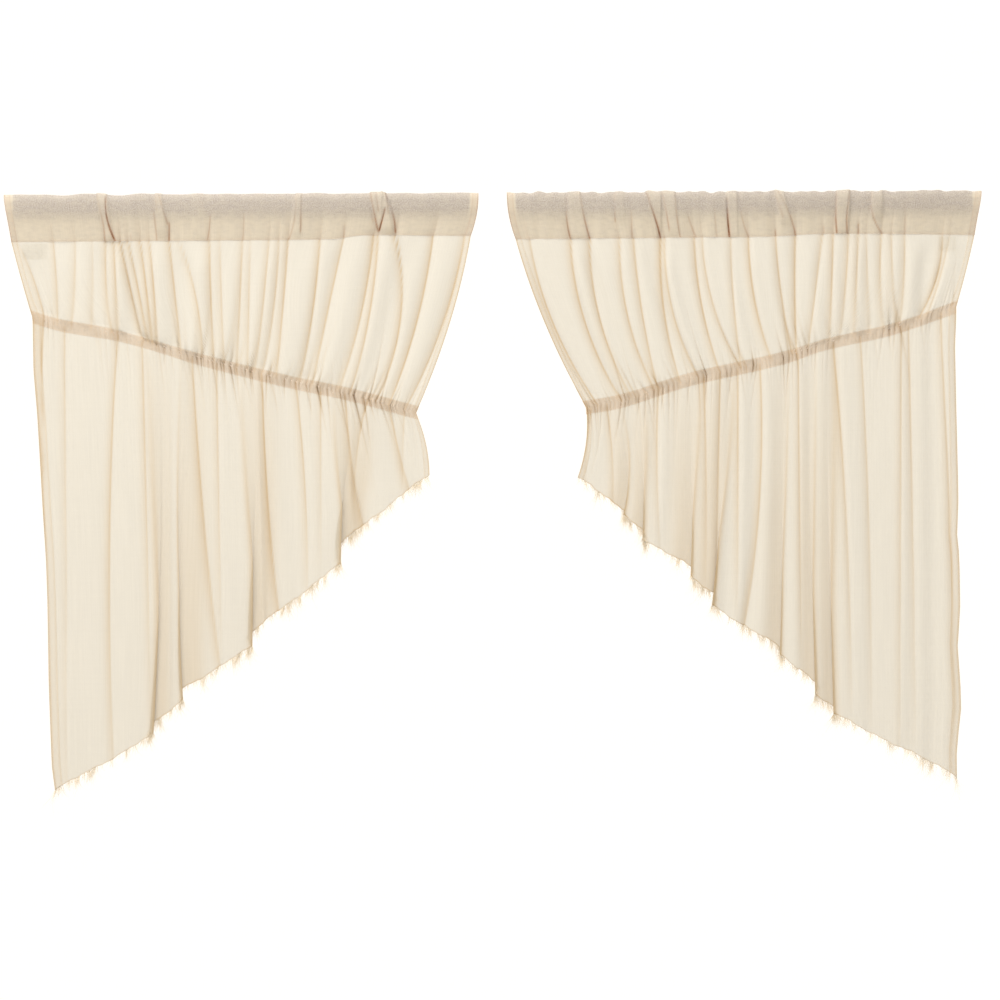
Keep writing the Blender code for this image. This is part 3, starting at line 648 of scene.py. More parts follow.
def add_piece(name, verts, faces, material, slot, node=None, flat=None, **attributes):
    """A mesh piece of faces with equal corner counts, that rides on the part's body.

    flat gives each vertex's place on the flat cloth, which becomes the UV map, and each further
    array becomes a float attribute of the vertices.
    """
    faces = np.ascontiguousarray(facing_out(verts, faces), dtype=np.int32)
    count, corners = faces.shape
    mesh = bpy.data.meshes.new(name)
    mesh.vertices.add(len(verts))
    mesh.vertices.foreach_set("co", np.ascontiguousarray(verts, dtype=np.float32).ravel())
    mesh.loops.add(count * corners)
    mesh.loops.foreach_set("vertex_index", faces.ravel())
    mesh.polygons.add(count)
    mesh.polygons.foreach_set("loop_start", np.arange(0, count * corners, corners, dtype=np.int32))
    mesh.update(calc_edges=True)
    mesh.shade_smooth()
    if corners == 4:
        mesh.set_sharp_from_angle(angle=RIM_ANGLE)
    if flat is not None:
        layer = mesh.uv_layers.new(name="cloth")
        corner_places = np.ascontiguousarray(flat[faces.ravel()], dtype=np.float32)
        layer.data.foreach_set("uv", corner_places.ravel())
    for title, values in attributes.items():
        layer = mesh.attributes.new(title, "FLOAT", "POINT")
        layer.data.foreach_set("value", np.ascontiguousarray(values, dtype=np.float32).ravel())
    mesh.materials.append(material)
    piece = bpy.data.objects.new(name, mesh)
    bpy.context.scene.collection.objects.link(piece)
    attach(piece, "root")
    if node:
        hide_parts(node)
    return piece


def both_sides(values):
    """Values of a grid, repeated for the two faces of the closed sheet made on it."""
    flat = np.asarray(values, float)
    flat = flat.reshape(-1, flat.shape[-1]) if flat.ndim == 3 else flat.reshape(-1)
    return np.concatenate([flat, flat])


def flat_places(cloth, drop, shape):
    """Places on the flat cloth, in metres."""
    return np.stack([np.broadcast_to(cloth, shape), drop], axis=-1) * MM


# How close the cloth looks at its raw lower edge, and the half width over which that fades
RAW_TONE = 0.4
RAW_WIDE = 1.1


def panel(curtain, looks):
    """The sheet from pocket seam to raw hem: the middle surface offset to both sides by half its
    thickness, which is more on the turned side hems."""
    cloth, level = panel_columns(), panel_levels()
    across, drop, depth, closed = sheet(curtain, cloth, level)
    points = to_space(curtain, across, drop, depth)
    normal = backward(curtain, points)
    hem = np.broadcast_to(hem_share(cloth), drop.shape)
    half = ((GAUZE + (HEMMED - GAUZE) * hem) / 2 * MM)[..., None]
    verts, quads = closed_sheet(points - normal * half, points + normal * half)
    raw = RAW_TONE * bell((hem_drop(curtain, cloth) - drop) / RAW_WIDE)
    from_band = np.abs(drop - band_drop(curtain, across[level == 1]))
    # The closed attribute carries the painted shade of folds, puckers and laps
    return add_piece(
        f"{curtain.name}_gauze_panel", verts, quads, looks["gauze"], "gauze",
        f"{curtain.name}_panel", flat=both_sides(flat_places(cloth, drop, drop.shape)),
        closed=both_sides(np.clip(closed, 0, 1)), raw=both_sides(raw),
        hem=both_sides(np.broadcast_to(hem_tone(cloth), drop.shape)),
        on_band=both_sides((BAND_WIDTH + 1) / 2 - from_band))


# Levels near the band at which the sheet is worked out to find rows a given drop away from it
NEAR_BAND = 1 + np.array([-0.1, -0.08, -0.06, -0.045, -0.03, -0.015, 0, 0.005, 0.01, 0.016, 0.025,
                          0.04, 0.06, 0.08, 0.11])

# Rows of the casing, as shares of its width
CASING_ROWS = np.array([-0.5, -0.25, 0, 0.25, 0.5])


def along_band(curtain, cloth, offsets):
    """Points of the sheet, and its painted shade, in rows that run the given drops below the band's middle.
    """
    across, drop, depth, closed = sheet(curtain, cloth, NEAR_BAND)
    wanted = band_drop(curtain, across[NEAR_BAND == 1][0]) + np.asarray(offsets, float)[:, None]
    rows = [np.array([np.interp(wanted[:, i], drop[:, i], values[:, i]) for i in range(len(cloth))]).T
            for values in (across, depth, closed)]
    return to_space(curtain, rows[0], wanted, rows[1]), rows[2], wanted


def casing(curtain, looks):
    """The gathering band: a strip sewn across the back of the panel that follows all its gathers."""
    cloth = panel_columns()
    points, closed, drops = along_band(curtain, cloth, CASING_ROWS * BAND_WIDTH)
    normal = backward(curtain, points)
    hidden = HEMMED / 2 * hem_share(cloth)[:, None] + GAUZE / 2 + CASING_GAP
    near = points + normal * hidden * MM
    far = near + normal * CASING * MM
    verts, quads = closed_sheet(near, far)
    # The casing takes on the sheet's painted shade of folds and puckers
    return add_piece(
        f"{curtain.name}_casing", verts, quads, looks["band"], "band", f"{curtain.name}_band",
        flat=both_sides(flat_places(cloth, drops, drops.shape)), closed=both_sides(closed))


def repeated(one, count, size):
    """Triangles of count equal small meshes of size vertices each, from those of one."""
    return (np.arange(count)[:, None, None] * size + np.array(one)[None]).reshape(-1, 3)


# Machine stitches: their pitch, visible length and thickness, and where their rows run
STITCH_PITCH = 3.0
STITCH_LONG = 2.1
STITCH_THICK = 0.5
BAND_ROW = 8.5
HEM_ROW = 10.5
HEM_ROW_LEVELS = np.concatenate([np.linspace(0.01, 1, 80, endpoint=False), np.linspace(1, 1.99, 160)])

# Triangles of a stitch: vertices 0 and 1 are its ends, 2 to 5 go round its waist
STITCH_CORNERS = 6
STITCH_FACES = [(0, 2 + k, 2 + (k + 1) % 4) for k in range(4)]
STITCH_FACES += [(1, 2 + (k + 1) % 4, 2 + k) for k in range(4)]


def stitch_row(line, outward):
    """Stitches along a polyline: eight-sided grains that lie half in the cloth, an even pitch apart.

    line holds points and outward the unit vectors off the cloth, both in a row.
    """
    run = np.concatenate([[0], np.cumsum(np.linalg.norm(np.diff(line, axis=0), axis=1))])
    middle = np.arange(STITCH_PITCH, run[-1] / MM - STITCH_PITCH, STITCH_PITCH) * MM

    def at(places, values):
        """Values of the polyline's points at places along its run."""
        return np.stack([np.interp(places, run, values[:, k]) for k in range(3)], axis=-1)

    reach = STITCH_LONG / 2 * MM
    ends = at(middle - reach, line), at(middle + reach, line)
    off = at(middle, outward)
    off /= np.linalg.norm(off, axis=1, keepdims=True)
    sideways = np.cross(ends[1] - ends[0], off)
    sideways /= np.linalg.norm(sideways, axis=1, keepdims=True)
    half = STITCH_THICK / 2 * MM
    centre = (ends[0] + ends[1]) / 2
    waist = [centre + half * turn for turn in (sideways, off, -sideways, -off)]
    return np.stack([*ends, *waist], axis=1)


def stitches(curtain, looks, seam):
    """All machine stitches of a curtain: the pocket seam, both edges of the band and the side hems."""
    grains = [stitch_row(*seam)]
    cloth = panel_columns()
    half = (GAUZE + (HEMMED - GAUZE) * hem_share(cloth)[:, None]) / 2 * MM
    for row in (-BAND_ROW, BAND_ROW):
        points, _, _ = along_band(curtain, cloth, [row - 1, row, row + 1])
        off = -backward(curtain, points)[1]
        grains.append(stitch_row(points[1] + off * half, off))
    for row in (HEM_ROW, CLOTH_WIDTH - HEM_ROW):
        across, drop, depth, _ = sheet(curtain, np.array([row - 0.5, row, row + 0.5]), HEM_ROW_LEVELS)
        points = to_space(curtain, across, drop, depth)
        off = -backward(curtain, points)[:, 1]
        grains.append(stitch_row(points[:, 1] + off * HEMMED / 2 * MM, off))
    grains = np.concatenate(grains)
    faces = repeated(STITCH_FACES, len(grains), STITCH_CORNERS)
    return add_piece(f"{curtain.name}_stitches", grains.reshape(-1, 3), faces, looks["fringe"], "fringe")


# The pocket: its columns, its rows as shares of its height, pairs of share and half depth in mm of
# the open sleeve, and the thickness of its walls
POCKET_COLUMNS = 640
POCKET_DROPS = np.array([0, 0.2, 0.8, 1.8, 3.2, 5, 7.5, 10.5, 14, 17.5, 21, 24, 27, 30, 34, 38, 42, 46,
                         50, 54, 57.5, 60.5, 63, 65, 66.4, 67.4, 68]) / 68
POCKET_HALF = [(0, 0), (0.02, 1.7), (0.05, 3.6), (0.1, 5.4), (0.16, 6.2), (0.3, 6.2), (0.4, 5.4),
               (0.6, 3.0), (0.8, 1.6), (1.0, 0.75)]
POCKET_WALL = 0.6

# Share of its half depth that a wall takes at most where the pocket is nearly shut, and how far
# the inner surface stops short of the foot
WALL_SHARE = 0.7
FOOT_LIFT = 0.6

# Row of the pocket's front wall, counted up from its foot, along which it is sewn down
SEAM_ROW = 3

# Pleats: width of a flank, share of the listed height that is built, and fade of the low end
FLANK = 4.5
PLEAT_SHARE = 0.7
PLEAT_FADE = 0.25

# Dark crease lines, painted shade: fade of their ends, half widths of the tight core and of the soft
# skirt, how strong each of these is, and the depth of the groove
LINE_FADE = 0.1
LINE_CORE = 1.1
LINE_SKIRT = 3.5
LINE_SHARP = 0.75
LINE_SOFT = 0.12
GROOVE = 1.6

# Share of the panel's folds' painted shade that shows on the pocket, and the powers of f with which
# the folds and their painted shade set in towards the seam
FOLD_SHADE_SHARE = 0.4
FOLD_POWER = 1.6
FOLD_SHADE_POWER = 3

# How close the cloth looks along the seam, the half width of that line, and the most of all
SEAM_TONE = 0.09
SEAM_WIDE = 3
MOST_CLOSED = 1.4

# Ragged ruffle of the gathered pocket: what is added to a curtain's seed, how many waves, the
# ranges of their height and length, and its share in the depth, at the top and added towards the
# seam
RUFFLE_SEED = 20
RUFFLES = 7
RUFFLE_HIGH = (0.2, 0.45)
RUFFLE_LONG = (3, 22)
RUFFLE_DEEP = 0.25
RUFFLE_DEEPER = 0.4

# The top edge above the rod: its rise, the shares of pleats and ruffle that it takes on, and how
# fast it fades down the pocket
TOP_RISE = 1.4
TOP_PLEAT = 0.36
TOP_RUFFLE = 1.2
TOP_FADE = 4

# Painted shadow of a rod inside the pocket, which is not built: the drop at which the shadow is gone
# and the run over which it fades, its gaps to the outer and the inner end, the fade there, and how
# pleats thin it
ROD_DROP = 44
ROD_FADE = 26
ROD_OUTER = 13
ROD_INNER = 11
ROD_END_FADE = 3
PLEAT_THINS = 0.5
PLEAT_FULL = 3.0


def pleats_out(curtain, across, f):
    """How far the pocket's pleats stand out: each is a plateau between its two flanks."""
    out = np.zeros_like(across)
    for pleat in curtain.pleats:
        near = pleat.near_top + (pleat.near_low - pleat.near_top) * f
        far = pleat.far_top + (pleat.far_low - pleat.far_top) * f
        body = step_over(across - near, FLANK) * step_over(far - across, FLANK)
        out = out + PLEAT_SHARE * pleat.high * body * step_over(pleat.reach - f, PLEAT_FADE)
    return out


def crease_shade_and_grooves(curtain, across, f):
    """Painted shade and groove depth of the crease lines in the pocket's front: bells round a curve of f.
    """
    closed, groove = np.zeros_like(across), np.zeros_like(across)
    for line in curtain.lines:
        beside = across - three_levels(f, line.at_top, line.at_mid, line.at_seam)
        run = step_over(f - line.start, LINE_FADE) * step_over(line.end - f, LINE_FADE)
        tight, soft = (line.dark * run * bell(beside / wide) for wide in (LINE_CORE, LINE_SKIRT))
        # Painted shade of each crease line: a tight core and a soft skirt
        closed = closed + LINE_SHARP * tight * (0.5 + 0.5 * f) + LINE_SOFT * soft
        groove = groove + GROOVE * tight * (1 - f ** 8)
    return closed, groove


def ruffled(curtain, across):
    """Ragged waves of the gathered pocket: a seeded sum of sines of the place across."""
    rng = np.random.default_rng(curtain.seed + RUFFLE_SEED)
    return sum(rng.uniform(*RUFFLE_HIGH) * np.sin(across / rng.uniform(*RUFFLE_LONG) + rng.uniform(*PHASES))
               for _ in range(RUFFLES))


def quads_around(block):
    """Quads round a sleeve whose rings are the rows of the block of vertex numbers."""
    nxt = np.roll(block, -1, axis=1)
    return np.stack([block[:-1], block[1:], nxt[1:], nxt[:-1]], axis=-1).reshape(-1, 4)


def sleeve_mesh(shell, inside):
    """Vertices and quads of a walled sleeve with open ends, from its outer and its inner surface."""
    cols, ring = shell.shape[:2]
    size = cols * ring
    number = np.arange(size).reshape(cols, ring)
    quads = [quads_around(number), quads_around(number + size)[:, ::-1]]
    for row, turn in ((0, 1), (-1, -1)):
        rim, after = number[row], np.roll(number[row], -1)
        quads.append(np.stack([rim, after, after + size, rim + size], axis=-1)[:, ::turn])
    return np.concatenate([shell.reshape(-1, 3), inside.reshape(-1, 3)]), np.concatenate(quads)


def pocket(curtain, looks):
    """The rod pocket, a flat sleeve open at both ends, worked out as rings round its section.

    Each ring runs up the front wall and down the back wall. A wall stands off the rod's plane by
    the pocket's half depth, and takes on the panel's folds towards the seam; the pleats stand
    out of the front wall between their flanks. Gives the piece and the line of its seam.
    """
    share = np.linspace(0, 1, POCKET_COLUMNS)[:, None]
    f = np.concatenate([POCKET_DROPS[::-1], POCKET_DROPS[1:]])[None, :]
    side = np.concatenate([-np.ones(len(POCKET_DROPS)), np.ones(len(POCKET_DROPS) - 1)])[None, :]
    front = side < 0
    start = curtain.outer.top + (curtain.outer.seam - curtain.outer.top) * f
    end = curtain.inner.top + (curtain.inner.seam - curtain.inner.top) * f ** 2
    across = start + (end - start) * share
    at_seam = edge_to_edge(curtain, share, "seam")
    low = seam_drop(curtain, at_seam)
    wave, fold_packing_and_shade = folds_at(curtain, curtain.upper, at_seam + 0 * f, 0 * f)
    out = pleats_out(curtain, across, f)
    line_shade, groove = crease_shade_and_grooves(curtain, across, f)
    # Painted shade on the pocket: the panel's fold shade towards the seam and the crease lines in front
    closed = fold_packing_and_shade * f ** FOLD_SHADE_POWER * FOLD_SHADE_SHARE + np.where(front, line_shade, 0)
    closed = closed + SEAM_TONE * bell((1 - f) * low / SEAM_WIDE)
    half = smooth_through(f, *zip(*POCKET_HALF))
    ruffle = ruffled(curtain, across)
    depth = (side * half + wave * f ** FOLD_POWER + ruffle * (RUFFLE_DEEP + RUFFLE_DEEPER * f)
             + np.where(front, groove - out, 0))
    rise = (TOP_RISE + TOP_PLEAT * out + TOP_RUFFLE * ruffle) * smooth_step(1 - f * TOP_FADE)
    drop = low * f - rise
    shell = to_space(curtain, across, drop, depth)
    inside = to_space(curtain, across, drop + POCKET_WALL * (1 - f) - FOOT_LIFT * f ** 6,
                      depth - side * np.minimum(POCKET_WALL, half * WALL_SHARE))
    verts, quads = sleeve_mesh(shell, inside)
    # Painted shadow of the rod: strongest at the top of the pocket, fading down and at the ends
    rod = smooth_step((ROD_DROP - low * f) / ROD_FADE)
    rod = rod * smooth_step((across - ROD_OUTER) / ROD_END_FADE)
    rod = rod * smooth_step((end - ROD_INNER - across) / ROD_END_FADE)
    rod = rod * (1 - PLEAT_THINS * np.clip(out / PLEAT_FULL, 0, 1))
    cloth = share * CLOTH_WIDTH
    piece = add_piece(
        f"{curtain.name}_rod_pocket", verts, quads, looks["pocket"], "pocket", f"{curtain.name}_heading",
        flat=both_sides(flat_places(cloth, low * f * side, across.shape)),
        closed=both_sides(np.clip(closed, 0, MOST_CLOSED)), rod=both_sides(rod),
        hem=both_sides(hem_tone(np.broadcast_to(cloth, across.shape))))
    seam = shell[:, SEAM_ROW]
    return piece, (seam, np.broadcast_to(np.array([0.0, -1.0, 0.0]), seam.shape))


# The label: its columns and rows, its depth at the top, what it gains down to its low edge, and
# how far it bows there
TAPE_GRID = (28, 18)
TAPE_DEPTH = 1.4
TAPE_SLANT = 3.6
TAPE_BOW = 0.5


def tape(curtain, looks):
    """Blank label: a small woven tape folded under the pocket seam, slightly bowed."""
    (left, right), (top, low) = curtain.label
    u, v = np.meshgrid(*(np.linspace(0, 1, count) for count in TAPE_GRID))
    across = left + (right - left) * u
    drop = top + (low - top) * v
    depth = TAPE_DEPTH + TAPE_SLANT * v + TAPE_BOW * np.sin(np.pi * u) * v
    points = to_space(curtain, across, drop, depth)
    verts, quads = closed_sheet(points, points + np.array([0, TAPE * MM, 0]))
    return add_piece(f"{curtain.name}_tape", verts, quads, looks["label"], "label", f"{curtain.name}_label",
                     flat=both_sides(np.stack([across, drop], axis=-1) * MM))


# Loose threads of a hem: what is added to a curtain's seed, how many, their thickness, the rings
# and corners of a tube, and the levels from which their roots are worked out
THREAD_SEED = 40
THREADS = 3400
THREAD_WIDE = 0.34
THREAD_RINGS = 5
THREAD_SIDES = 3
ROOT_LEVELS = (1.998, 2.0)

# Tufts: lengths of the waves that place them, their strength in the middle and its swing, the
# reach of the one at the outer corner, and strength, offset and half width of those at the laps
TUFT_WAVES = (2.1, 4.7, 11.0, 29.0)
TUFT_MIDDLE = 0.5
TUFT_SWING = 0.75
CORNER_TUFT = 6
LAP_TUFT = 0.95
LAP_TUFT_OFF = 5
LAP_TUFT_WIDE = 9

# Chance that a thread stands where there is no tuft, what a full tuft adds to it, and the power of
# the tuft's strength with which that grows
BARE_CHANCE = 0.08
TUFT_CHANCE = 0.9
TUFT_POWER = 1.8

# Length of a thread in mm: the least, what a tuft and what chance add at most, with the numbers of
# their beta distributions; the chance and factor of extra long ones; and the outer corner's tail
SHORTEST = 4
TUFT_LONG = 30
TUFT_LONG_POWER = 1.2
TUFT_LONG_SPREAD = (1.8, 1.8)
CHANCE_LONG = 6
CHANCE_SPREAD = (1, 3)
EXTRA_CHANCE = 0.02
EXTRA_LONG = 1.5
TAIL_LONG = 13
TAIL_WIDE = 5

# Lean and curl of a thread: lengths of the waves in which neighbours lean together, how far, the
# spread of the single lean, the tail's lean, and the spread of the curl
LEAN_WAVES = np.array([3.1, 7.7])
LEAN_TOGETHER = 0.2
LEAN_SPREAD = 0.12
TAIL_LEAN = 0.22
CURL_SPREAD = 0.22

# How far a thread starts up in the cloth, how much its fall slackens, and how much its tip tapers
ROOTED = 0.3
SLACKENS = 0.15
TAPERS = 0.75


def thread_places(curtain, rng):
    """Places along the cloth at which threads stand, and how strong the tuft is there."""
    cloth = np.sort(rng.uniform(0, CLOTH_WIDTH, THREADS * 3))
    waves = sum(np.sin(cloth / scale + rng.uniform(*PHASES)) for scale in TUFT_WAVES) / len(TUFT_WAVES)
    tuft = np.clip(TUFT_MIDDLE + TUFT_SWING * waves, 0, 1)
    tuft = np.maximum(tuft, np.exp(-cloth / CORNER_TUFT))
    for lap in curtain.laps:
        tuft = np.maximum(tuft, LAP_TUFT * bell((cloth - lap.front + LAP_TUFT_OFF) / LAP_TUFT_WIDE))
    keep = rng.uniform(0, 1, len(cloth)) < BARE_CHANCE + TUFT_CHANCE * tuft ** TUFT_POWER
    cloth, tuft = cloth[keep], tuft[keep]
    chosen = np.sort(rng.permutation(len(cloth))[:THREADS])
    return cloth[chosen], tuft[chosen]


def thread_lines(curtain, rng, cloth, tuft, root, t):
    """Middle lines of the threads: sideways root + length * (lean * t + curl * t^2), and down by
    length * t, a little less towards the tip."""
    count = len(cloth)
    length = (SHORTEST + TUFT_LONG * tuft ** TUFT_LONG_POWER * rng.beta(*TUFT_LONG_SPREAD, count)
              + CHANCE_LONG * rng.beta(*CHANCE_SPREAD, count)) * MM
    length[rng.uniform(0, 1, count) < EXTRA_CHANCE] *= EXTRA_LONG
    corner = np.exp(-cloth / TAIL_WIDE)
    length += TAIL_LONG * MM * corner
    together = np.sin(np.outer(cloth, 1 / LEAN_WAVES) + rng.uniform(*PHASES, 2))
    lean = LEAN_TOGETHER * together + rng.normal(0, LEAN_SPREAD, (count, 2))
    lean[:, 0] -= TAIL_LEAN * curtain.mirror * corner
    curl = rng.normal(0, CURL_SPREAD, (count, 2))
    line = np.empty((count, THREAD_RINGS, 3))
    for axis in (0, 1):
        bent = lean[:, None, axis] * t + curl[:, None, axis] * t ** 2
        line[..., axis] = root[:, None, axis] + length[:, None] * bent
    line[..., 2] = root[:, None, 2] + ROOTED * MM - length[:, None] * t * (1 - SLACKENS * t)
    return line


def thread_faces():
    """Triangles of one thread: quads between its rings, each cut in two, and both ends."""
    per = THREAD_RINGS * THREAD_SIDES
    faces = []
    for ring in range(THREAD_RINGS - 1):
        for k in range(THREAD_SIDES):
            a, b = ring * THREAD_SIDES + k, ring * THREAD_SIDES + (k + 1) % THREAD_SIDES
            faces += [(a, b, b + THREAD_SIDES), (a, b + THREAD_SIDES, a + THREAD_SIDES)]
    return faces + [(2, 1, 0), (per - 3, per - 2, per - 1)]


def frayed_hem(curtain, looks):
    """Loose threads of the raw hem, each a curved three-sided tube that tapers to a point.

    Threads are longer and closer in tufts, whose places are waves along the cloth.
    """
    rng = np.random.default_rng(curtain.seed + THREAD_SEED)
    cloth, tuft = thread_places(curtain, rng)
    across, drop, depth, _ = sheet(curtain, cloth, ROOT_LEVELS)
    root = to_space(curtain, across, drop, depth)[1]
    count = len(cloth)
    t = np.linspace(0, 1, THREAD_RINGS)[None, :]
    line = thread_lines(curtain, rng, cloth, tuft, root, t)
    wide = THREAD_WIDE / 2 * MM * (1 - TAPERS * t ** 2)[..., None]
    turn = rng.uniform(*PHASES, count)[:, None, None] + np.arange(THREAD_SIDES) * 2 * np.pi / THREAD_SIDES
    ring = np.stack([np.cos(turn), np.sin(turn), 0 * turn], axis=-1) * wide[..., None]
    verts = (line[:, :, None, :] + ring).reshape(-1, 3)
    faces = repeated(thread_faces(), count, THREAD_RINGS * THREAD_SIDES)
    return add_piece(f"{curtain.name}_frayed_threads", verts, faces, looks["fringe"], "fringe",
                     f"{curtain.name}_fringe")


def linear(hexes):
    """Linear colour of an sRGB hex value, with an alpha of 1."""
    value = np.array([int(hexes[i:i + 2], 16) for i in (1, 3, 5)]) / 255
    value = np.where(value <= 0.04045, value / 12.92, ((value + 0.055) / 1.055) ** 2.4)
    return (*value, 1.0)


def add_node(tree, kind, sockets=None, **settings):
    """Adds a shader node with its settings, and fills its sockets with values or links."""
    made = tree.nodes.new(kind)
    for name, value in settings.items():
        setattr(made, name, value)
    for name, value in (sockets or {}).items():
        socket = made.inputs[name]
        if isinstance(value, bpy.types.NodeSocket):
            tree.links.new(value, socket)
        else:
            socket.default_value = value
    return made


# Pitch of the gauze's threads, and length and width of its slubs, in mm
THREAD_PITCH = 0.9
SLUB_LONG = 110.0
SLUB_WIDE = 1.6

# Factor and offset of the slubs that run down the cloth, and of those that run across it
SLUB_DOWN = (1.8, -0.4)
SLUB_ACROSS = (0.6, 0.2)

# How much the weave adds to the slubs, and the strength and height in metres of both as a relief
WEAVE_HIGH = 0.12
RELIEF = 0.35
RELIEF_HIGH = 0.0002

# Range of the slubs, and the range of tone that it turns into
SLUB_RANGE = (0.6, 1.4)
TONE_RANGE = (0.975, 1.025)

# Matt cotton: roughness, sheen and shine, and the share of the gaps that is left in closed cloth
ROUGH = 0.92
SHEEN = 0.15
SHINE = 0.2
GAPS_LEFT = 0.4

# Colour of the gauze where the casing lies behind it, and the most of it that shows
CASING_BEHIND = "#D0B59A"
BEHIND_SHARE = 0.28


def attribute(tree, title):
    """Value of a float attribute of the mesh."""
    return add_node(tree, "ShaderNodeAttribute", attribute_name=title).outputs["Fac"]


def arithmetic(tree, operation, *values, **settings):
    """Result of a math node on up to three values or links."""
    sockets = dict(enumerate(values))
    return add_node(tree, "ShaderNodeMath", sockets, operation=operation, **settings).outputs[0]


def in_range(tree, value, start=0, end=1, new_start=0, new_end=1):
    """A value mapped from the range start to end onto the range new_start to new_end."""
    sockets = {"Value": value, "From Min": start, "From Max": end, "To Min": new_start, "To Max": new_end}
    return add_node(tree, "ShaderNodeMapRange", sockets).outputs[0]


def blend(tree, share, one, other):
    """A share of the other colour mixed into the one."""
    return add_node(tree, "ShaderNodeMix", {0: share, 6: one, 7: other}, data_type="RGBA").outputs[2]


def cloth_noise(tree, place, scale, detail):
    """Noise on the flat cloth, at a scale of its own along and down the cloth, in 1/m."""
    stretched = add_node(tree, "ShaderNodeMapping", {"Vector": place, "Scale": (*scale, 1)}).outputs[0]
    return add_node(tree, "ShaderNodeTexNoise", {"Vector": stretched, "Scale": 1.0, "Detail": detail},
                    noise_dimensions="2D").outputs["Fac"]


def slubs_in(tree, place):
    """Uneven yarns: noise stretched down the cloth, plus weaker noise stretched across it."""
    thin, long = 1 / (SLUB_WIDE * MM), 1 / (SLUB_LONG * MM)
    down = arithmetic(tree, "MULTIPLY_ADD", cloth_noise(tree, place, (thin, long), 2.0), *SLUB_DOWN)
    across = arithmetic(tree, "MULTIPLY_ADD", cloth_noise(tree, place, (long, thin), 2.0), *SLUB_ACROSS)
    return arithmetic(tree, "ADD", down, across)


def weave_in(tree, place):
    """Plain weave: the product of two sines, one along each thread direction."""
    axes = add_node(tree, "ShaderNodeSeparateXYZ", {0: place})
    turns = [arithmetic(tree, "MULTIPLY", axes.outputs[axis], 2 * np.pi / (THREAD_PITCH * MM))
             for axis in ("X", "Y")]
    return arithmetic(tree, "MULTIPLY", *(arithmetic(tree, "SINE", turn) for turn in turns))


def woven_cotton(name, single, packed_and_shade, crease_shade, seen_through, lets_light, extra=None):
    """Unbleached cotton, plain woven and unsized: matt, slightly uneven, creamier where it is closed up in
    folds.

    single, packed_and_shade and crease_shade are the colours of one flat layer, of cloth closed up in a
    fold with its painted shade, and of the painted shade at the bottom of a sharp crease. A share
    seen_through of the light passes between the threads, and a share lets_light of the rest is let
    through by the threads themselves.
    """
    material = bpy.data.materials.new(name)
    material.use_nodes = True
    tree = material.node_tree
    tree.nodes.clear()
    place = add_node(tree, "ShaderNodeUVMap", uv_map="cloth").outputs["UV"]
    # Blend share: the real extra layers of hems and raw edge, plus the painted shade of folds, puckers and
    # laps
    layers_and_shade = arithmetic(tree, "MAXIMUM", attribute(tree, "hem"), attribute(tree, "raw"))
    layers_and_shade = arithmetic(tree, "ADD", layers_and_shade, attribute(tree, "closed"), use_clamp=True)
    slub = slubs_in(tree, place)
    grain = arithmetic(tree, "MULTIPLY_ADD", weave_in(tree, place), WEAVE_HIGH, slub)
    bump = add_node(tree, "ShaderNodeBump",
                    {"Height": grain, "Strength": RELIEF, "Distance": RELIEF_HIGH}).outputs[0]
    tone = in_range(tree, slub, *SLUB_RANGE, *TONE_RANGE)
    # Painted shade: closed-up and creased cloth is mixed towards the darker fold and crease colours
    colour = blend(tree, layers_and_shade, linear(single), linear(packed_and_shade))
    colour = blend(tree, arithmetic(tree, "POWER", layers_and_shade, 2.0), colour, linear(crease_shade))
    on_band = in_range(tree, attribute(tree, "on_band"), new_end=BEHIND_SHARE)
    colour = blend(tree, on_band, colour, linear(CASING_BEHIND))
    if extra:
        colour = extra(tree, colour, place)
    colour = add_node(tree, "ShaderNodeVectorMath", {0: colour, "Scale": tone},
                      operation="SCALE").outputs[0]
    thread = add_node(tree, "ShaderNodeBsdfPrincipled",
                      {"Base Color": colour, "Roughness": ROUGH, "Sheen Weight": SHEEN,
                       "Specular IOR Level": SHINE, "Normal": bump})
    light = add_node(tree, "ShaderNodeBsdfTranslucent", {"Color": colour, "Normal": bump})
    solid = add_node(tree, "ShaderNodeMixShader",
                     {0: lets_light, 1: thread.outputs[0], 2: light.outputs[0]})
    gaps = in_range(tree, layers_and_shade, new_start=seen_through, new_end=seen_through * GAPS_LEFT)
    clear = add_node(tree, "ShaderNodeBsdfTransparent")
    mixed = add_node(tree, "ShaderNodeMixShader", {0: gaps, 1: solid.outputs[0], 2: clear.outputs[0]})
    add_node(tree, "ShaderNodeOutputMaterial", {"Surface": mixed.outputs[0]})
    return material


# Painted shadow of the unbuilt rod on the pocket: scales in 1/m of the noise that breaks up the
# shadow's rim and of its mottle, the range that becomes shadow, and the darkest and palest grey
RIM_NOISE = (70, 190)
MOTTLE_NOISE = (420, 560)
SHADE_RANGE = (0.4, 1.65)
ROD_SHADOW_GREYS = ("#988D82", "#DCD5CD")


def painted_rod_shadow(tree, colour, place):
    """Painted shadow of a rod in the pocket, which is not built: a greyer, mottled band over its room."""
    rod = arithmetic(tree, "ADD", attribute(tree, "rod"), cloth_noise(tree, place, RIM_NOISE, 4.0))
    rod = in_range(tree, rod, *SHADE_RANGE)
    # Painted shadow: mottled greys mixed in where the rod would lie
    grey = blend(tree, cloth_noise(tree, place, MOTTLE_NOISE, 3.0), *map(linear, ROD_SHADOW_GREYS))
    return blend(tree, rod, colour, grey)


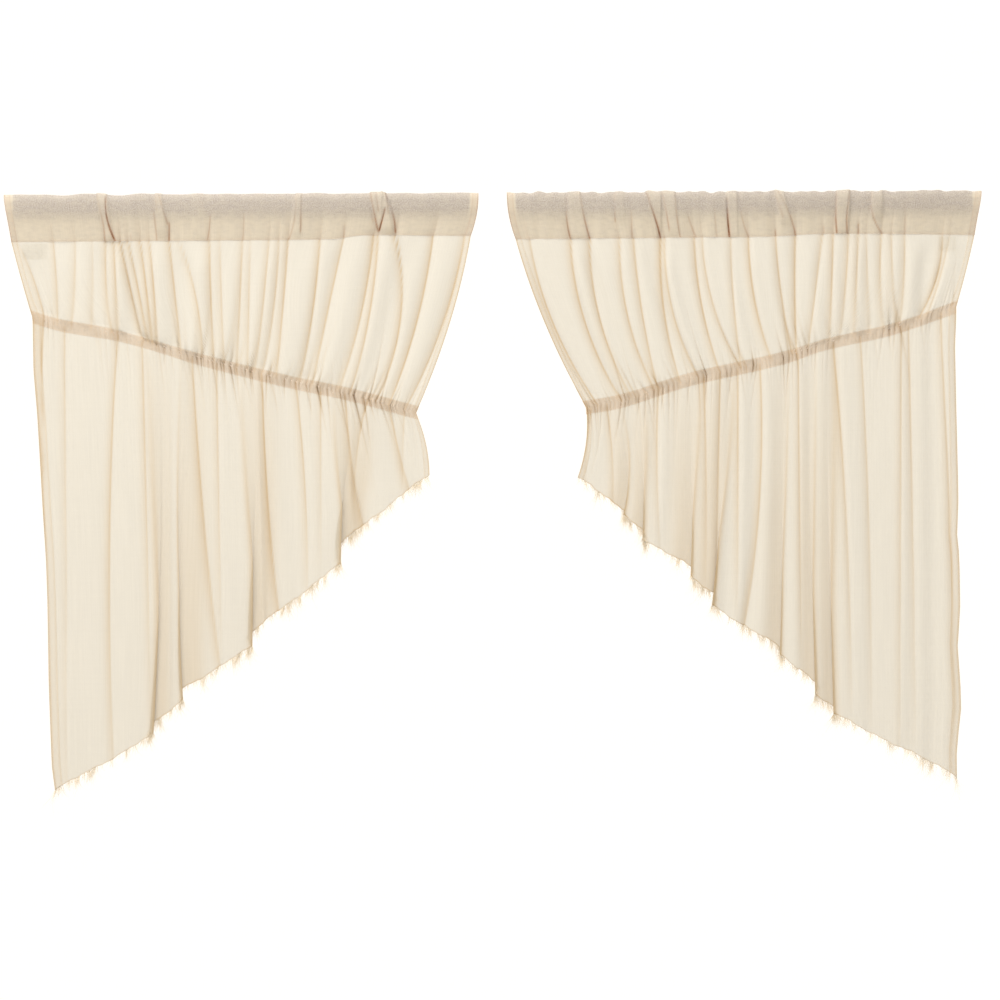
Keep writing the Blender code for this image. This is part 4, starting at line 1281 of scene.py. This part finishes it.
def make_looks():
    """All materials by their use."""
    return {
        # Second and third colours of each look: cloth closed up in folds and crease bottoms, as painted
        # shade
        "gauze": woven_cotton("cotton_gauze", "#D2CDC1", "#C6A468", "#A4885A", 0.42, 0.20),
        "pocket": woven_cotton("cotton_gauze_pocket", "#D8CFBE", "#A87850", "#80502C", 0.33, 0.20,
                               painted_rod_shadow),
        "band": woven_cotton("cotton_casing", "#F4E6D8", "#CEB196", "#A88A74", 0.30, 0.20),
        "label": woven_cotton("woven_tape", "#C6BDAC", "#C6BDAC", "#C6BDAC", 0.75, 0.20),
        "fringe": woven_cotton("cotton_threads", "#FBF1DE", "#FBF1DE", "#FBF1DE", 0.48, 0.20),
    }


# Camera: straight in front of the pair, level but for a slight roll, at a plain portrait distance
FRAME_WIDTH = 1.511
VIEW_CENTRE = Vector((0.389, 0.0, -0.463))
VIEW_DISTANCE = 3.5
VIEW_END = 50
SENSOR = 36.0
ROLL = np.radians(0.26)


def camera():
    """The camera at the photographed view."""
    data = bpy.data.cameras.new("camera")
    data.sensor_width = SENSOR
    data.lens = SENSOR * VIEW_DISTANCE / FRAME_WIDTH
    data.clip_end = VIEW_END
    view = bpy.data.objects.new("camera", data)
    view.location = VIEW_CENTRE + Vector((0, -VIEW_DISTANCE, 0))
    level, roll = Euler((np.pi / 2, 0, 0)).to_matrix(), Euler((0, 0, -ROLL)).to_matrix()
    view.rotation_euler = (level @ roll).to_euler()
    bpy.context.scene.collection.objects.link(view)
    bpy.context.scene.camera = view


def area_light(name, place, target, size, power, colour):
    """A square soft light that faces a target."""
    data = bpy.data.lights.new(name, "AREA")
    data.size = size
    data.energy = power
    data.color = colour
    lamp = bpy.data.objects.new(name, data)
    lamp.location = place
    lamp.rotation_euler = (Vector(target) - Vector(place)).to_track_quat("-Z", "Y").to_euler()
    bpy.context.scene.collection.objects.link(lamp)


# The white room: colour and strength of its light, the key light's place, target, size, power and
# colour, and the floor's corners, colour and roughness
ROOM_COLOUR = (1, 0.96, 0.905, 1)
ROOM_STRENGTH = 1.105
KEY_PLACE = (-0.5, -1.3, 2.2)
KEY_TARGET = (0.4, 0, -0.2)
KEY_SIZE = 2.8
KEY_POWER = 106
KEY_COLOUR = (1, 0.985, 0.96)
FLOOR_LEFT, FLOOR_RIGHT = -2.6, 3.4
FLOOR_FRONT, FLOOR_BACK = -3.0, 0.95
FLOOR_LEVEL = -1.45
FLOOR_COLOUR = "#D9D5CD"
FLOOR_ROUGH = 0.9


def staging_floor():
    """A pale matt floor, which is staging and no part of the curtains."""
    corners = [(FLOOR_LEFT, FLOOR_FRONT), (FLOOR_RIGHT, FLOOR_FRONT),
               (FLOOR_RIGHT, FLOOR_BACK), (FLOOR_LEFT, FLOOR_BACK)]
    floor = bpy.data.meshes.new("floor")
    floor.from_pydata([(x, y, FLOOR_LEVEL) for x, y in corners], [], [(0, 1, 2, 3)])
    paint = bpy.data.materials.new("matt_floor")
    paint.use_nodes = True
    surface = paint.node_tree.nodes["Principled BSDF"]
    surface.inputs["Base Color"].default_value = linear(FLOOR_COLOUR)
    surface.inputs["Roughness"].default_value = FLOOR_ROUGH
    floor.materials.append(paint)
    ground = bpy.data.objects.new("floor", floor)
    bpy.context.scene.collection.objects.link(ground)


def studio():
    """A white room: even light from all round, a soft key light from the left, and a pale floor."""
    world = bpy.data.worlds.new("white_room")
    world.use_nodes = True
    shade = world.node_tree.nodes["Background"]
    shade.inputs["Color"].default_value = ROOM_COLOUR
    shade.inputs["Strength"].default_value = ROOM_STRENGTH
    bpy.context.scene.world = world
    area_light("key", KEY_PLACE, KEY_TARGET, KEY_SIZE, KEY_POWER, KEY_COLOUR)
    staging_floor()
    bpy.context.scene.view_settings.view_transform = "Standard"
    bpy.context.scene.view_settings.look = "None"


camera()
looks = make_looks()
for curtain in (LEFT, RIGHT):
    sleeve, seam = pocket(curtain, looks)
    pieces = {
        "panel": panel(curtain, looks),
        "band": casing(curtain, looks),
        "pocket": sleeve,
        "tape": tape(curtain, looks),
        "fringe": frayed_hem(curtain, looks),
        "thread": stitches(curtain, looks, seam),
    }
studio()
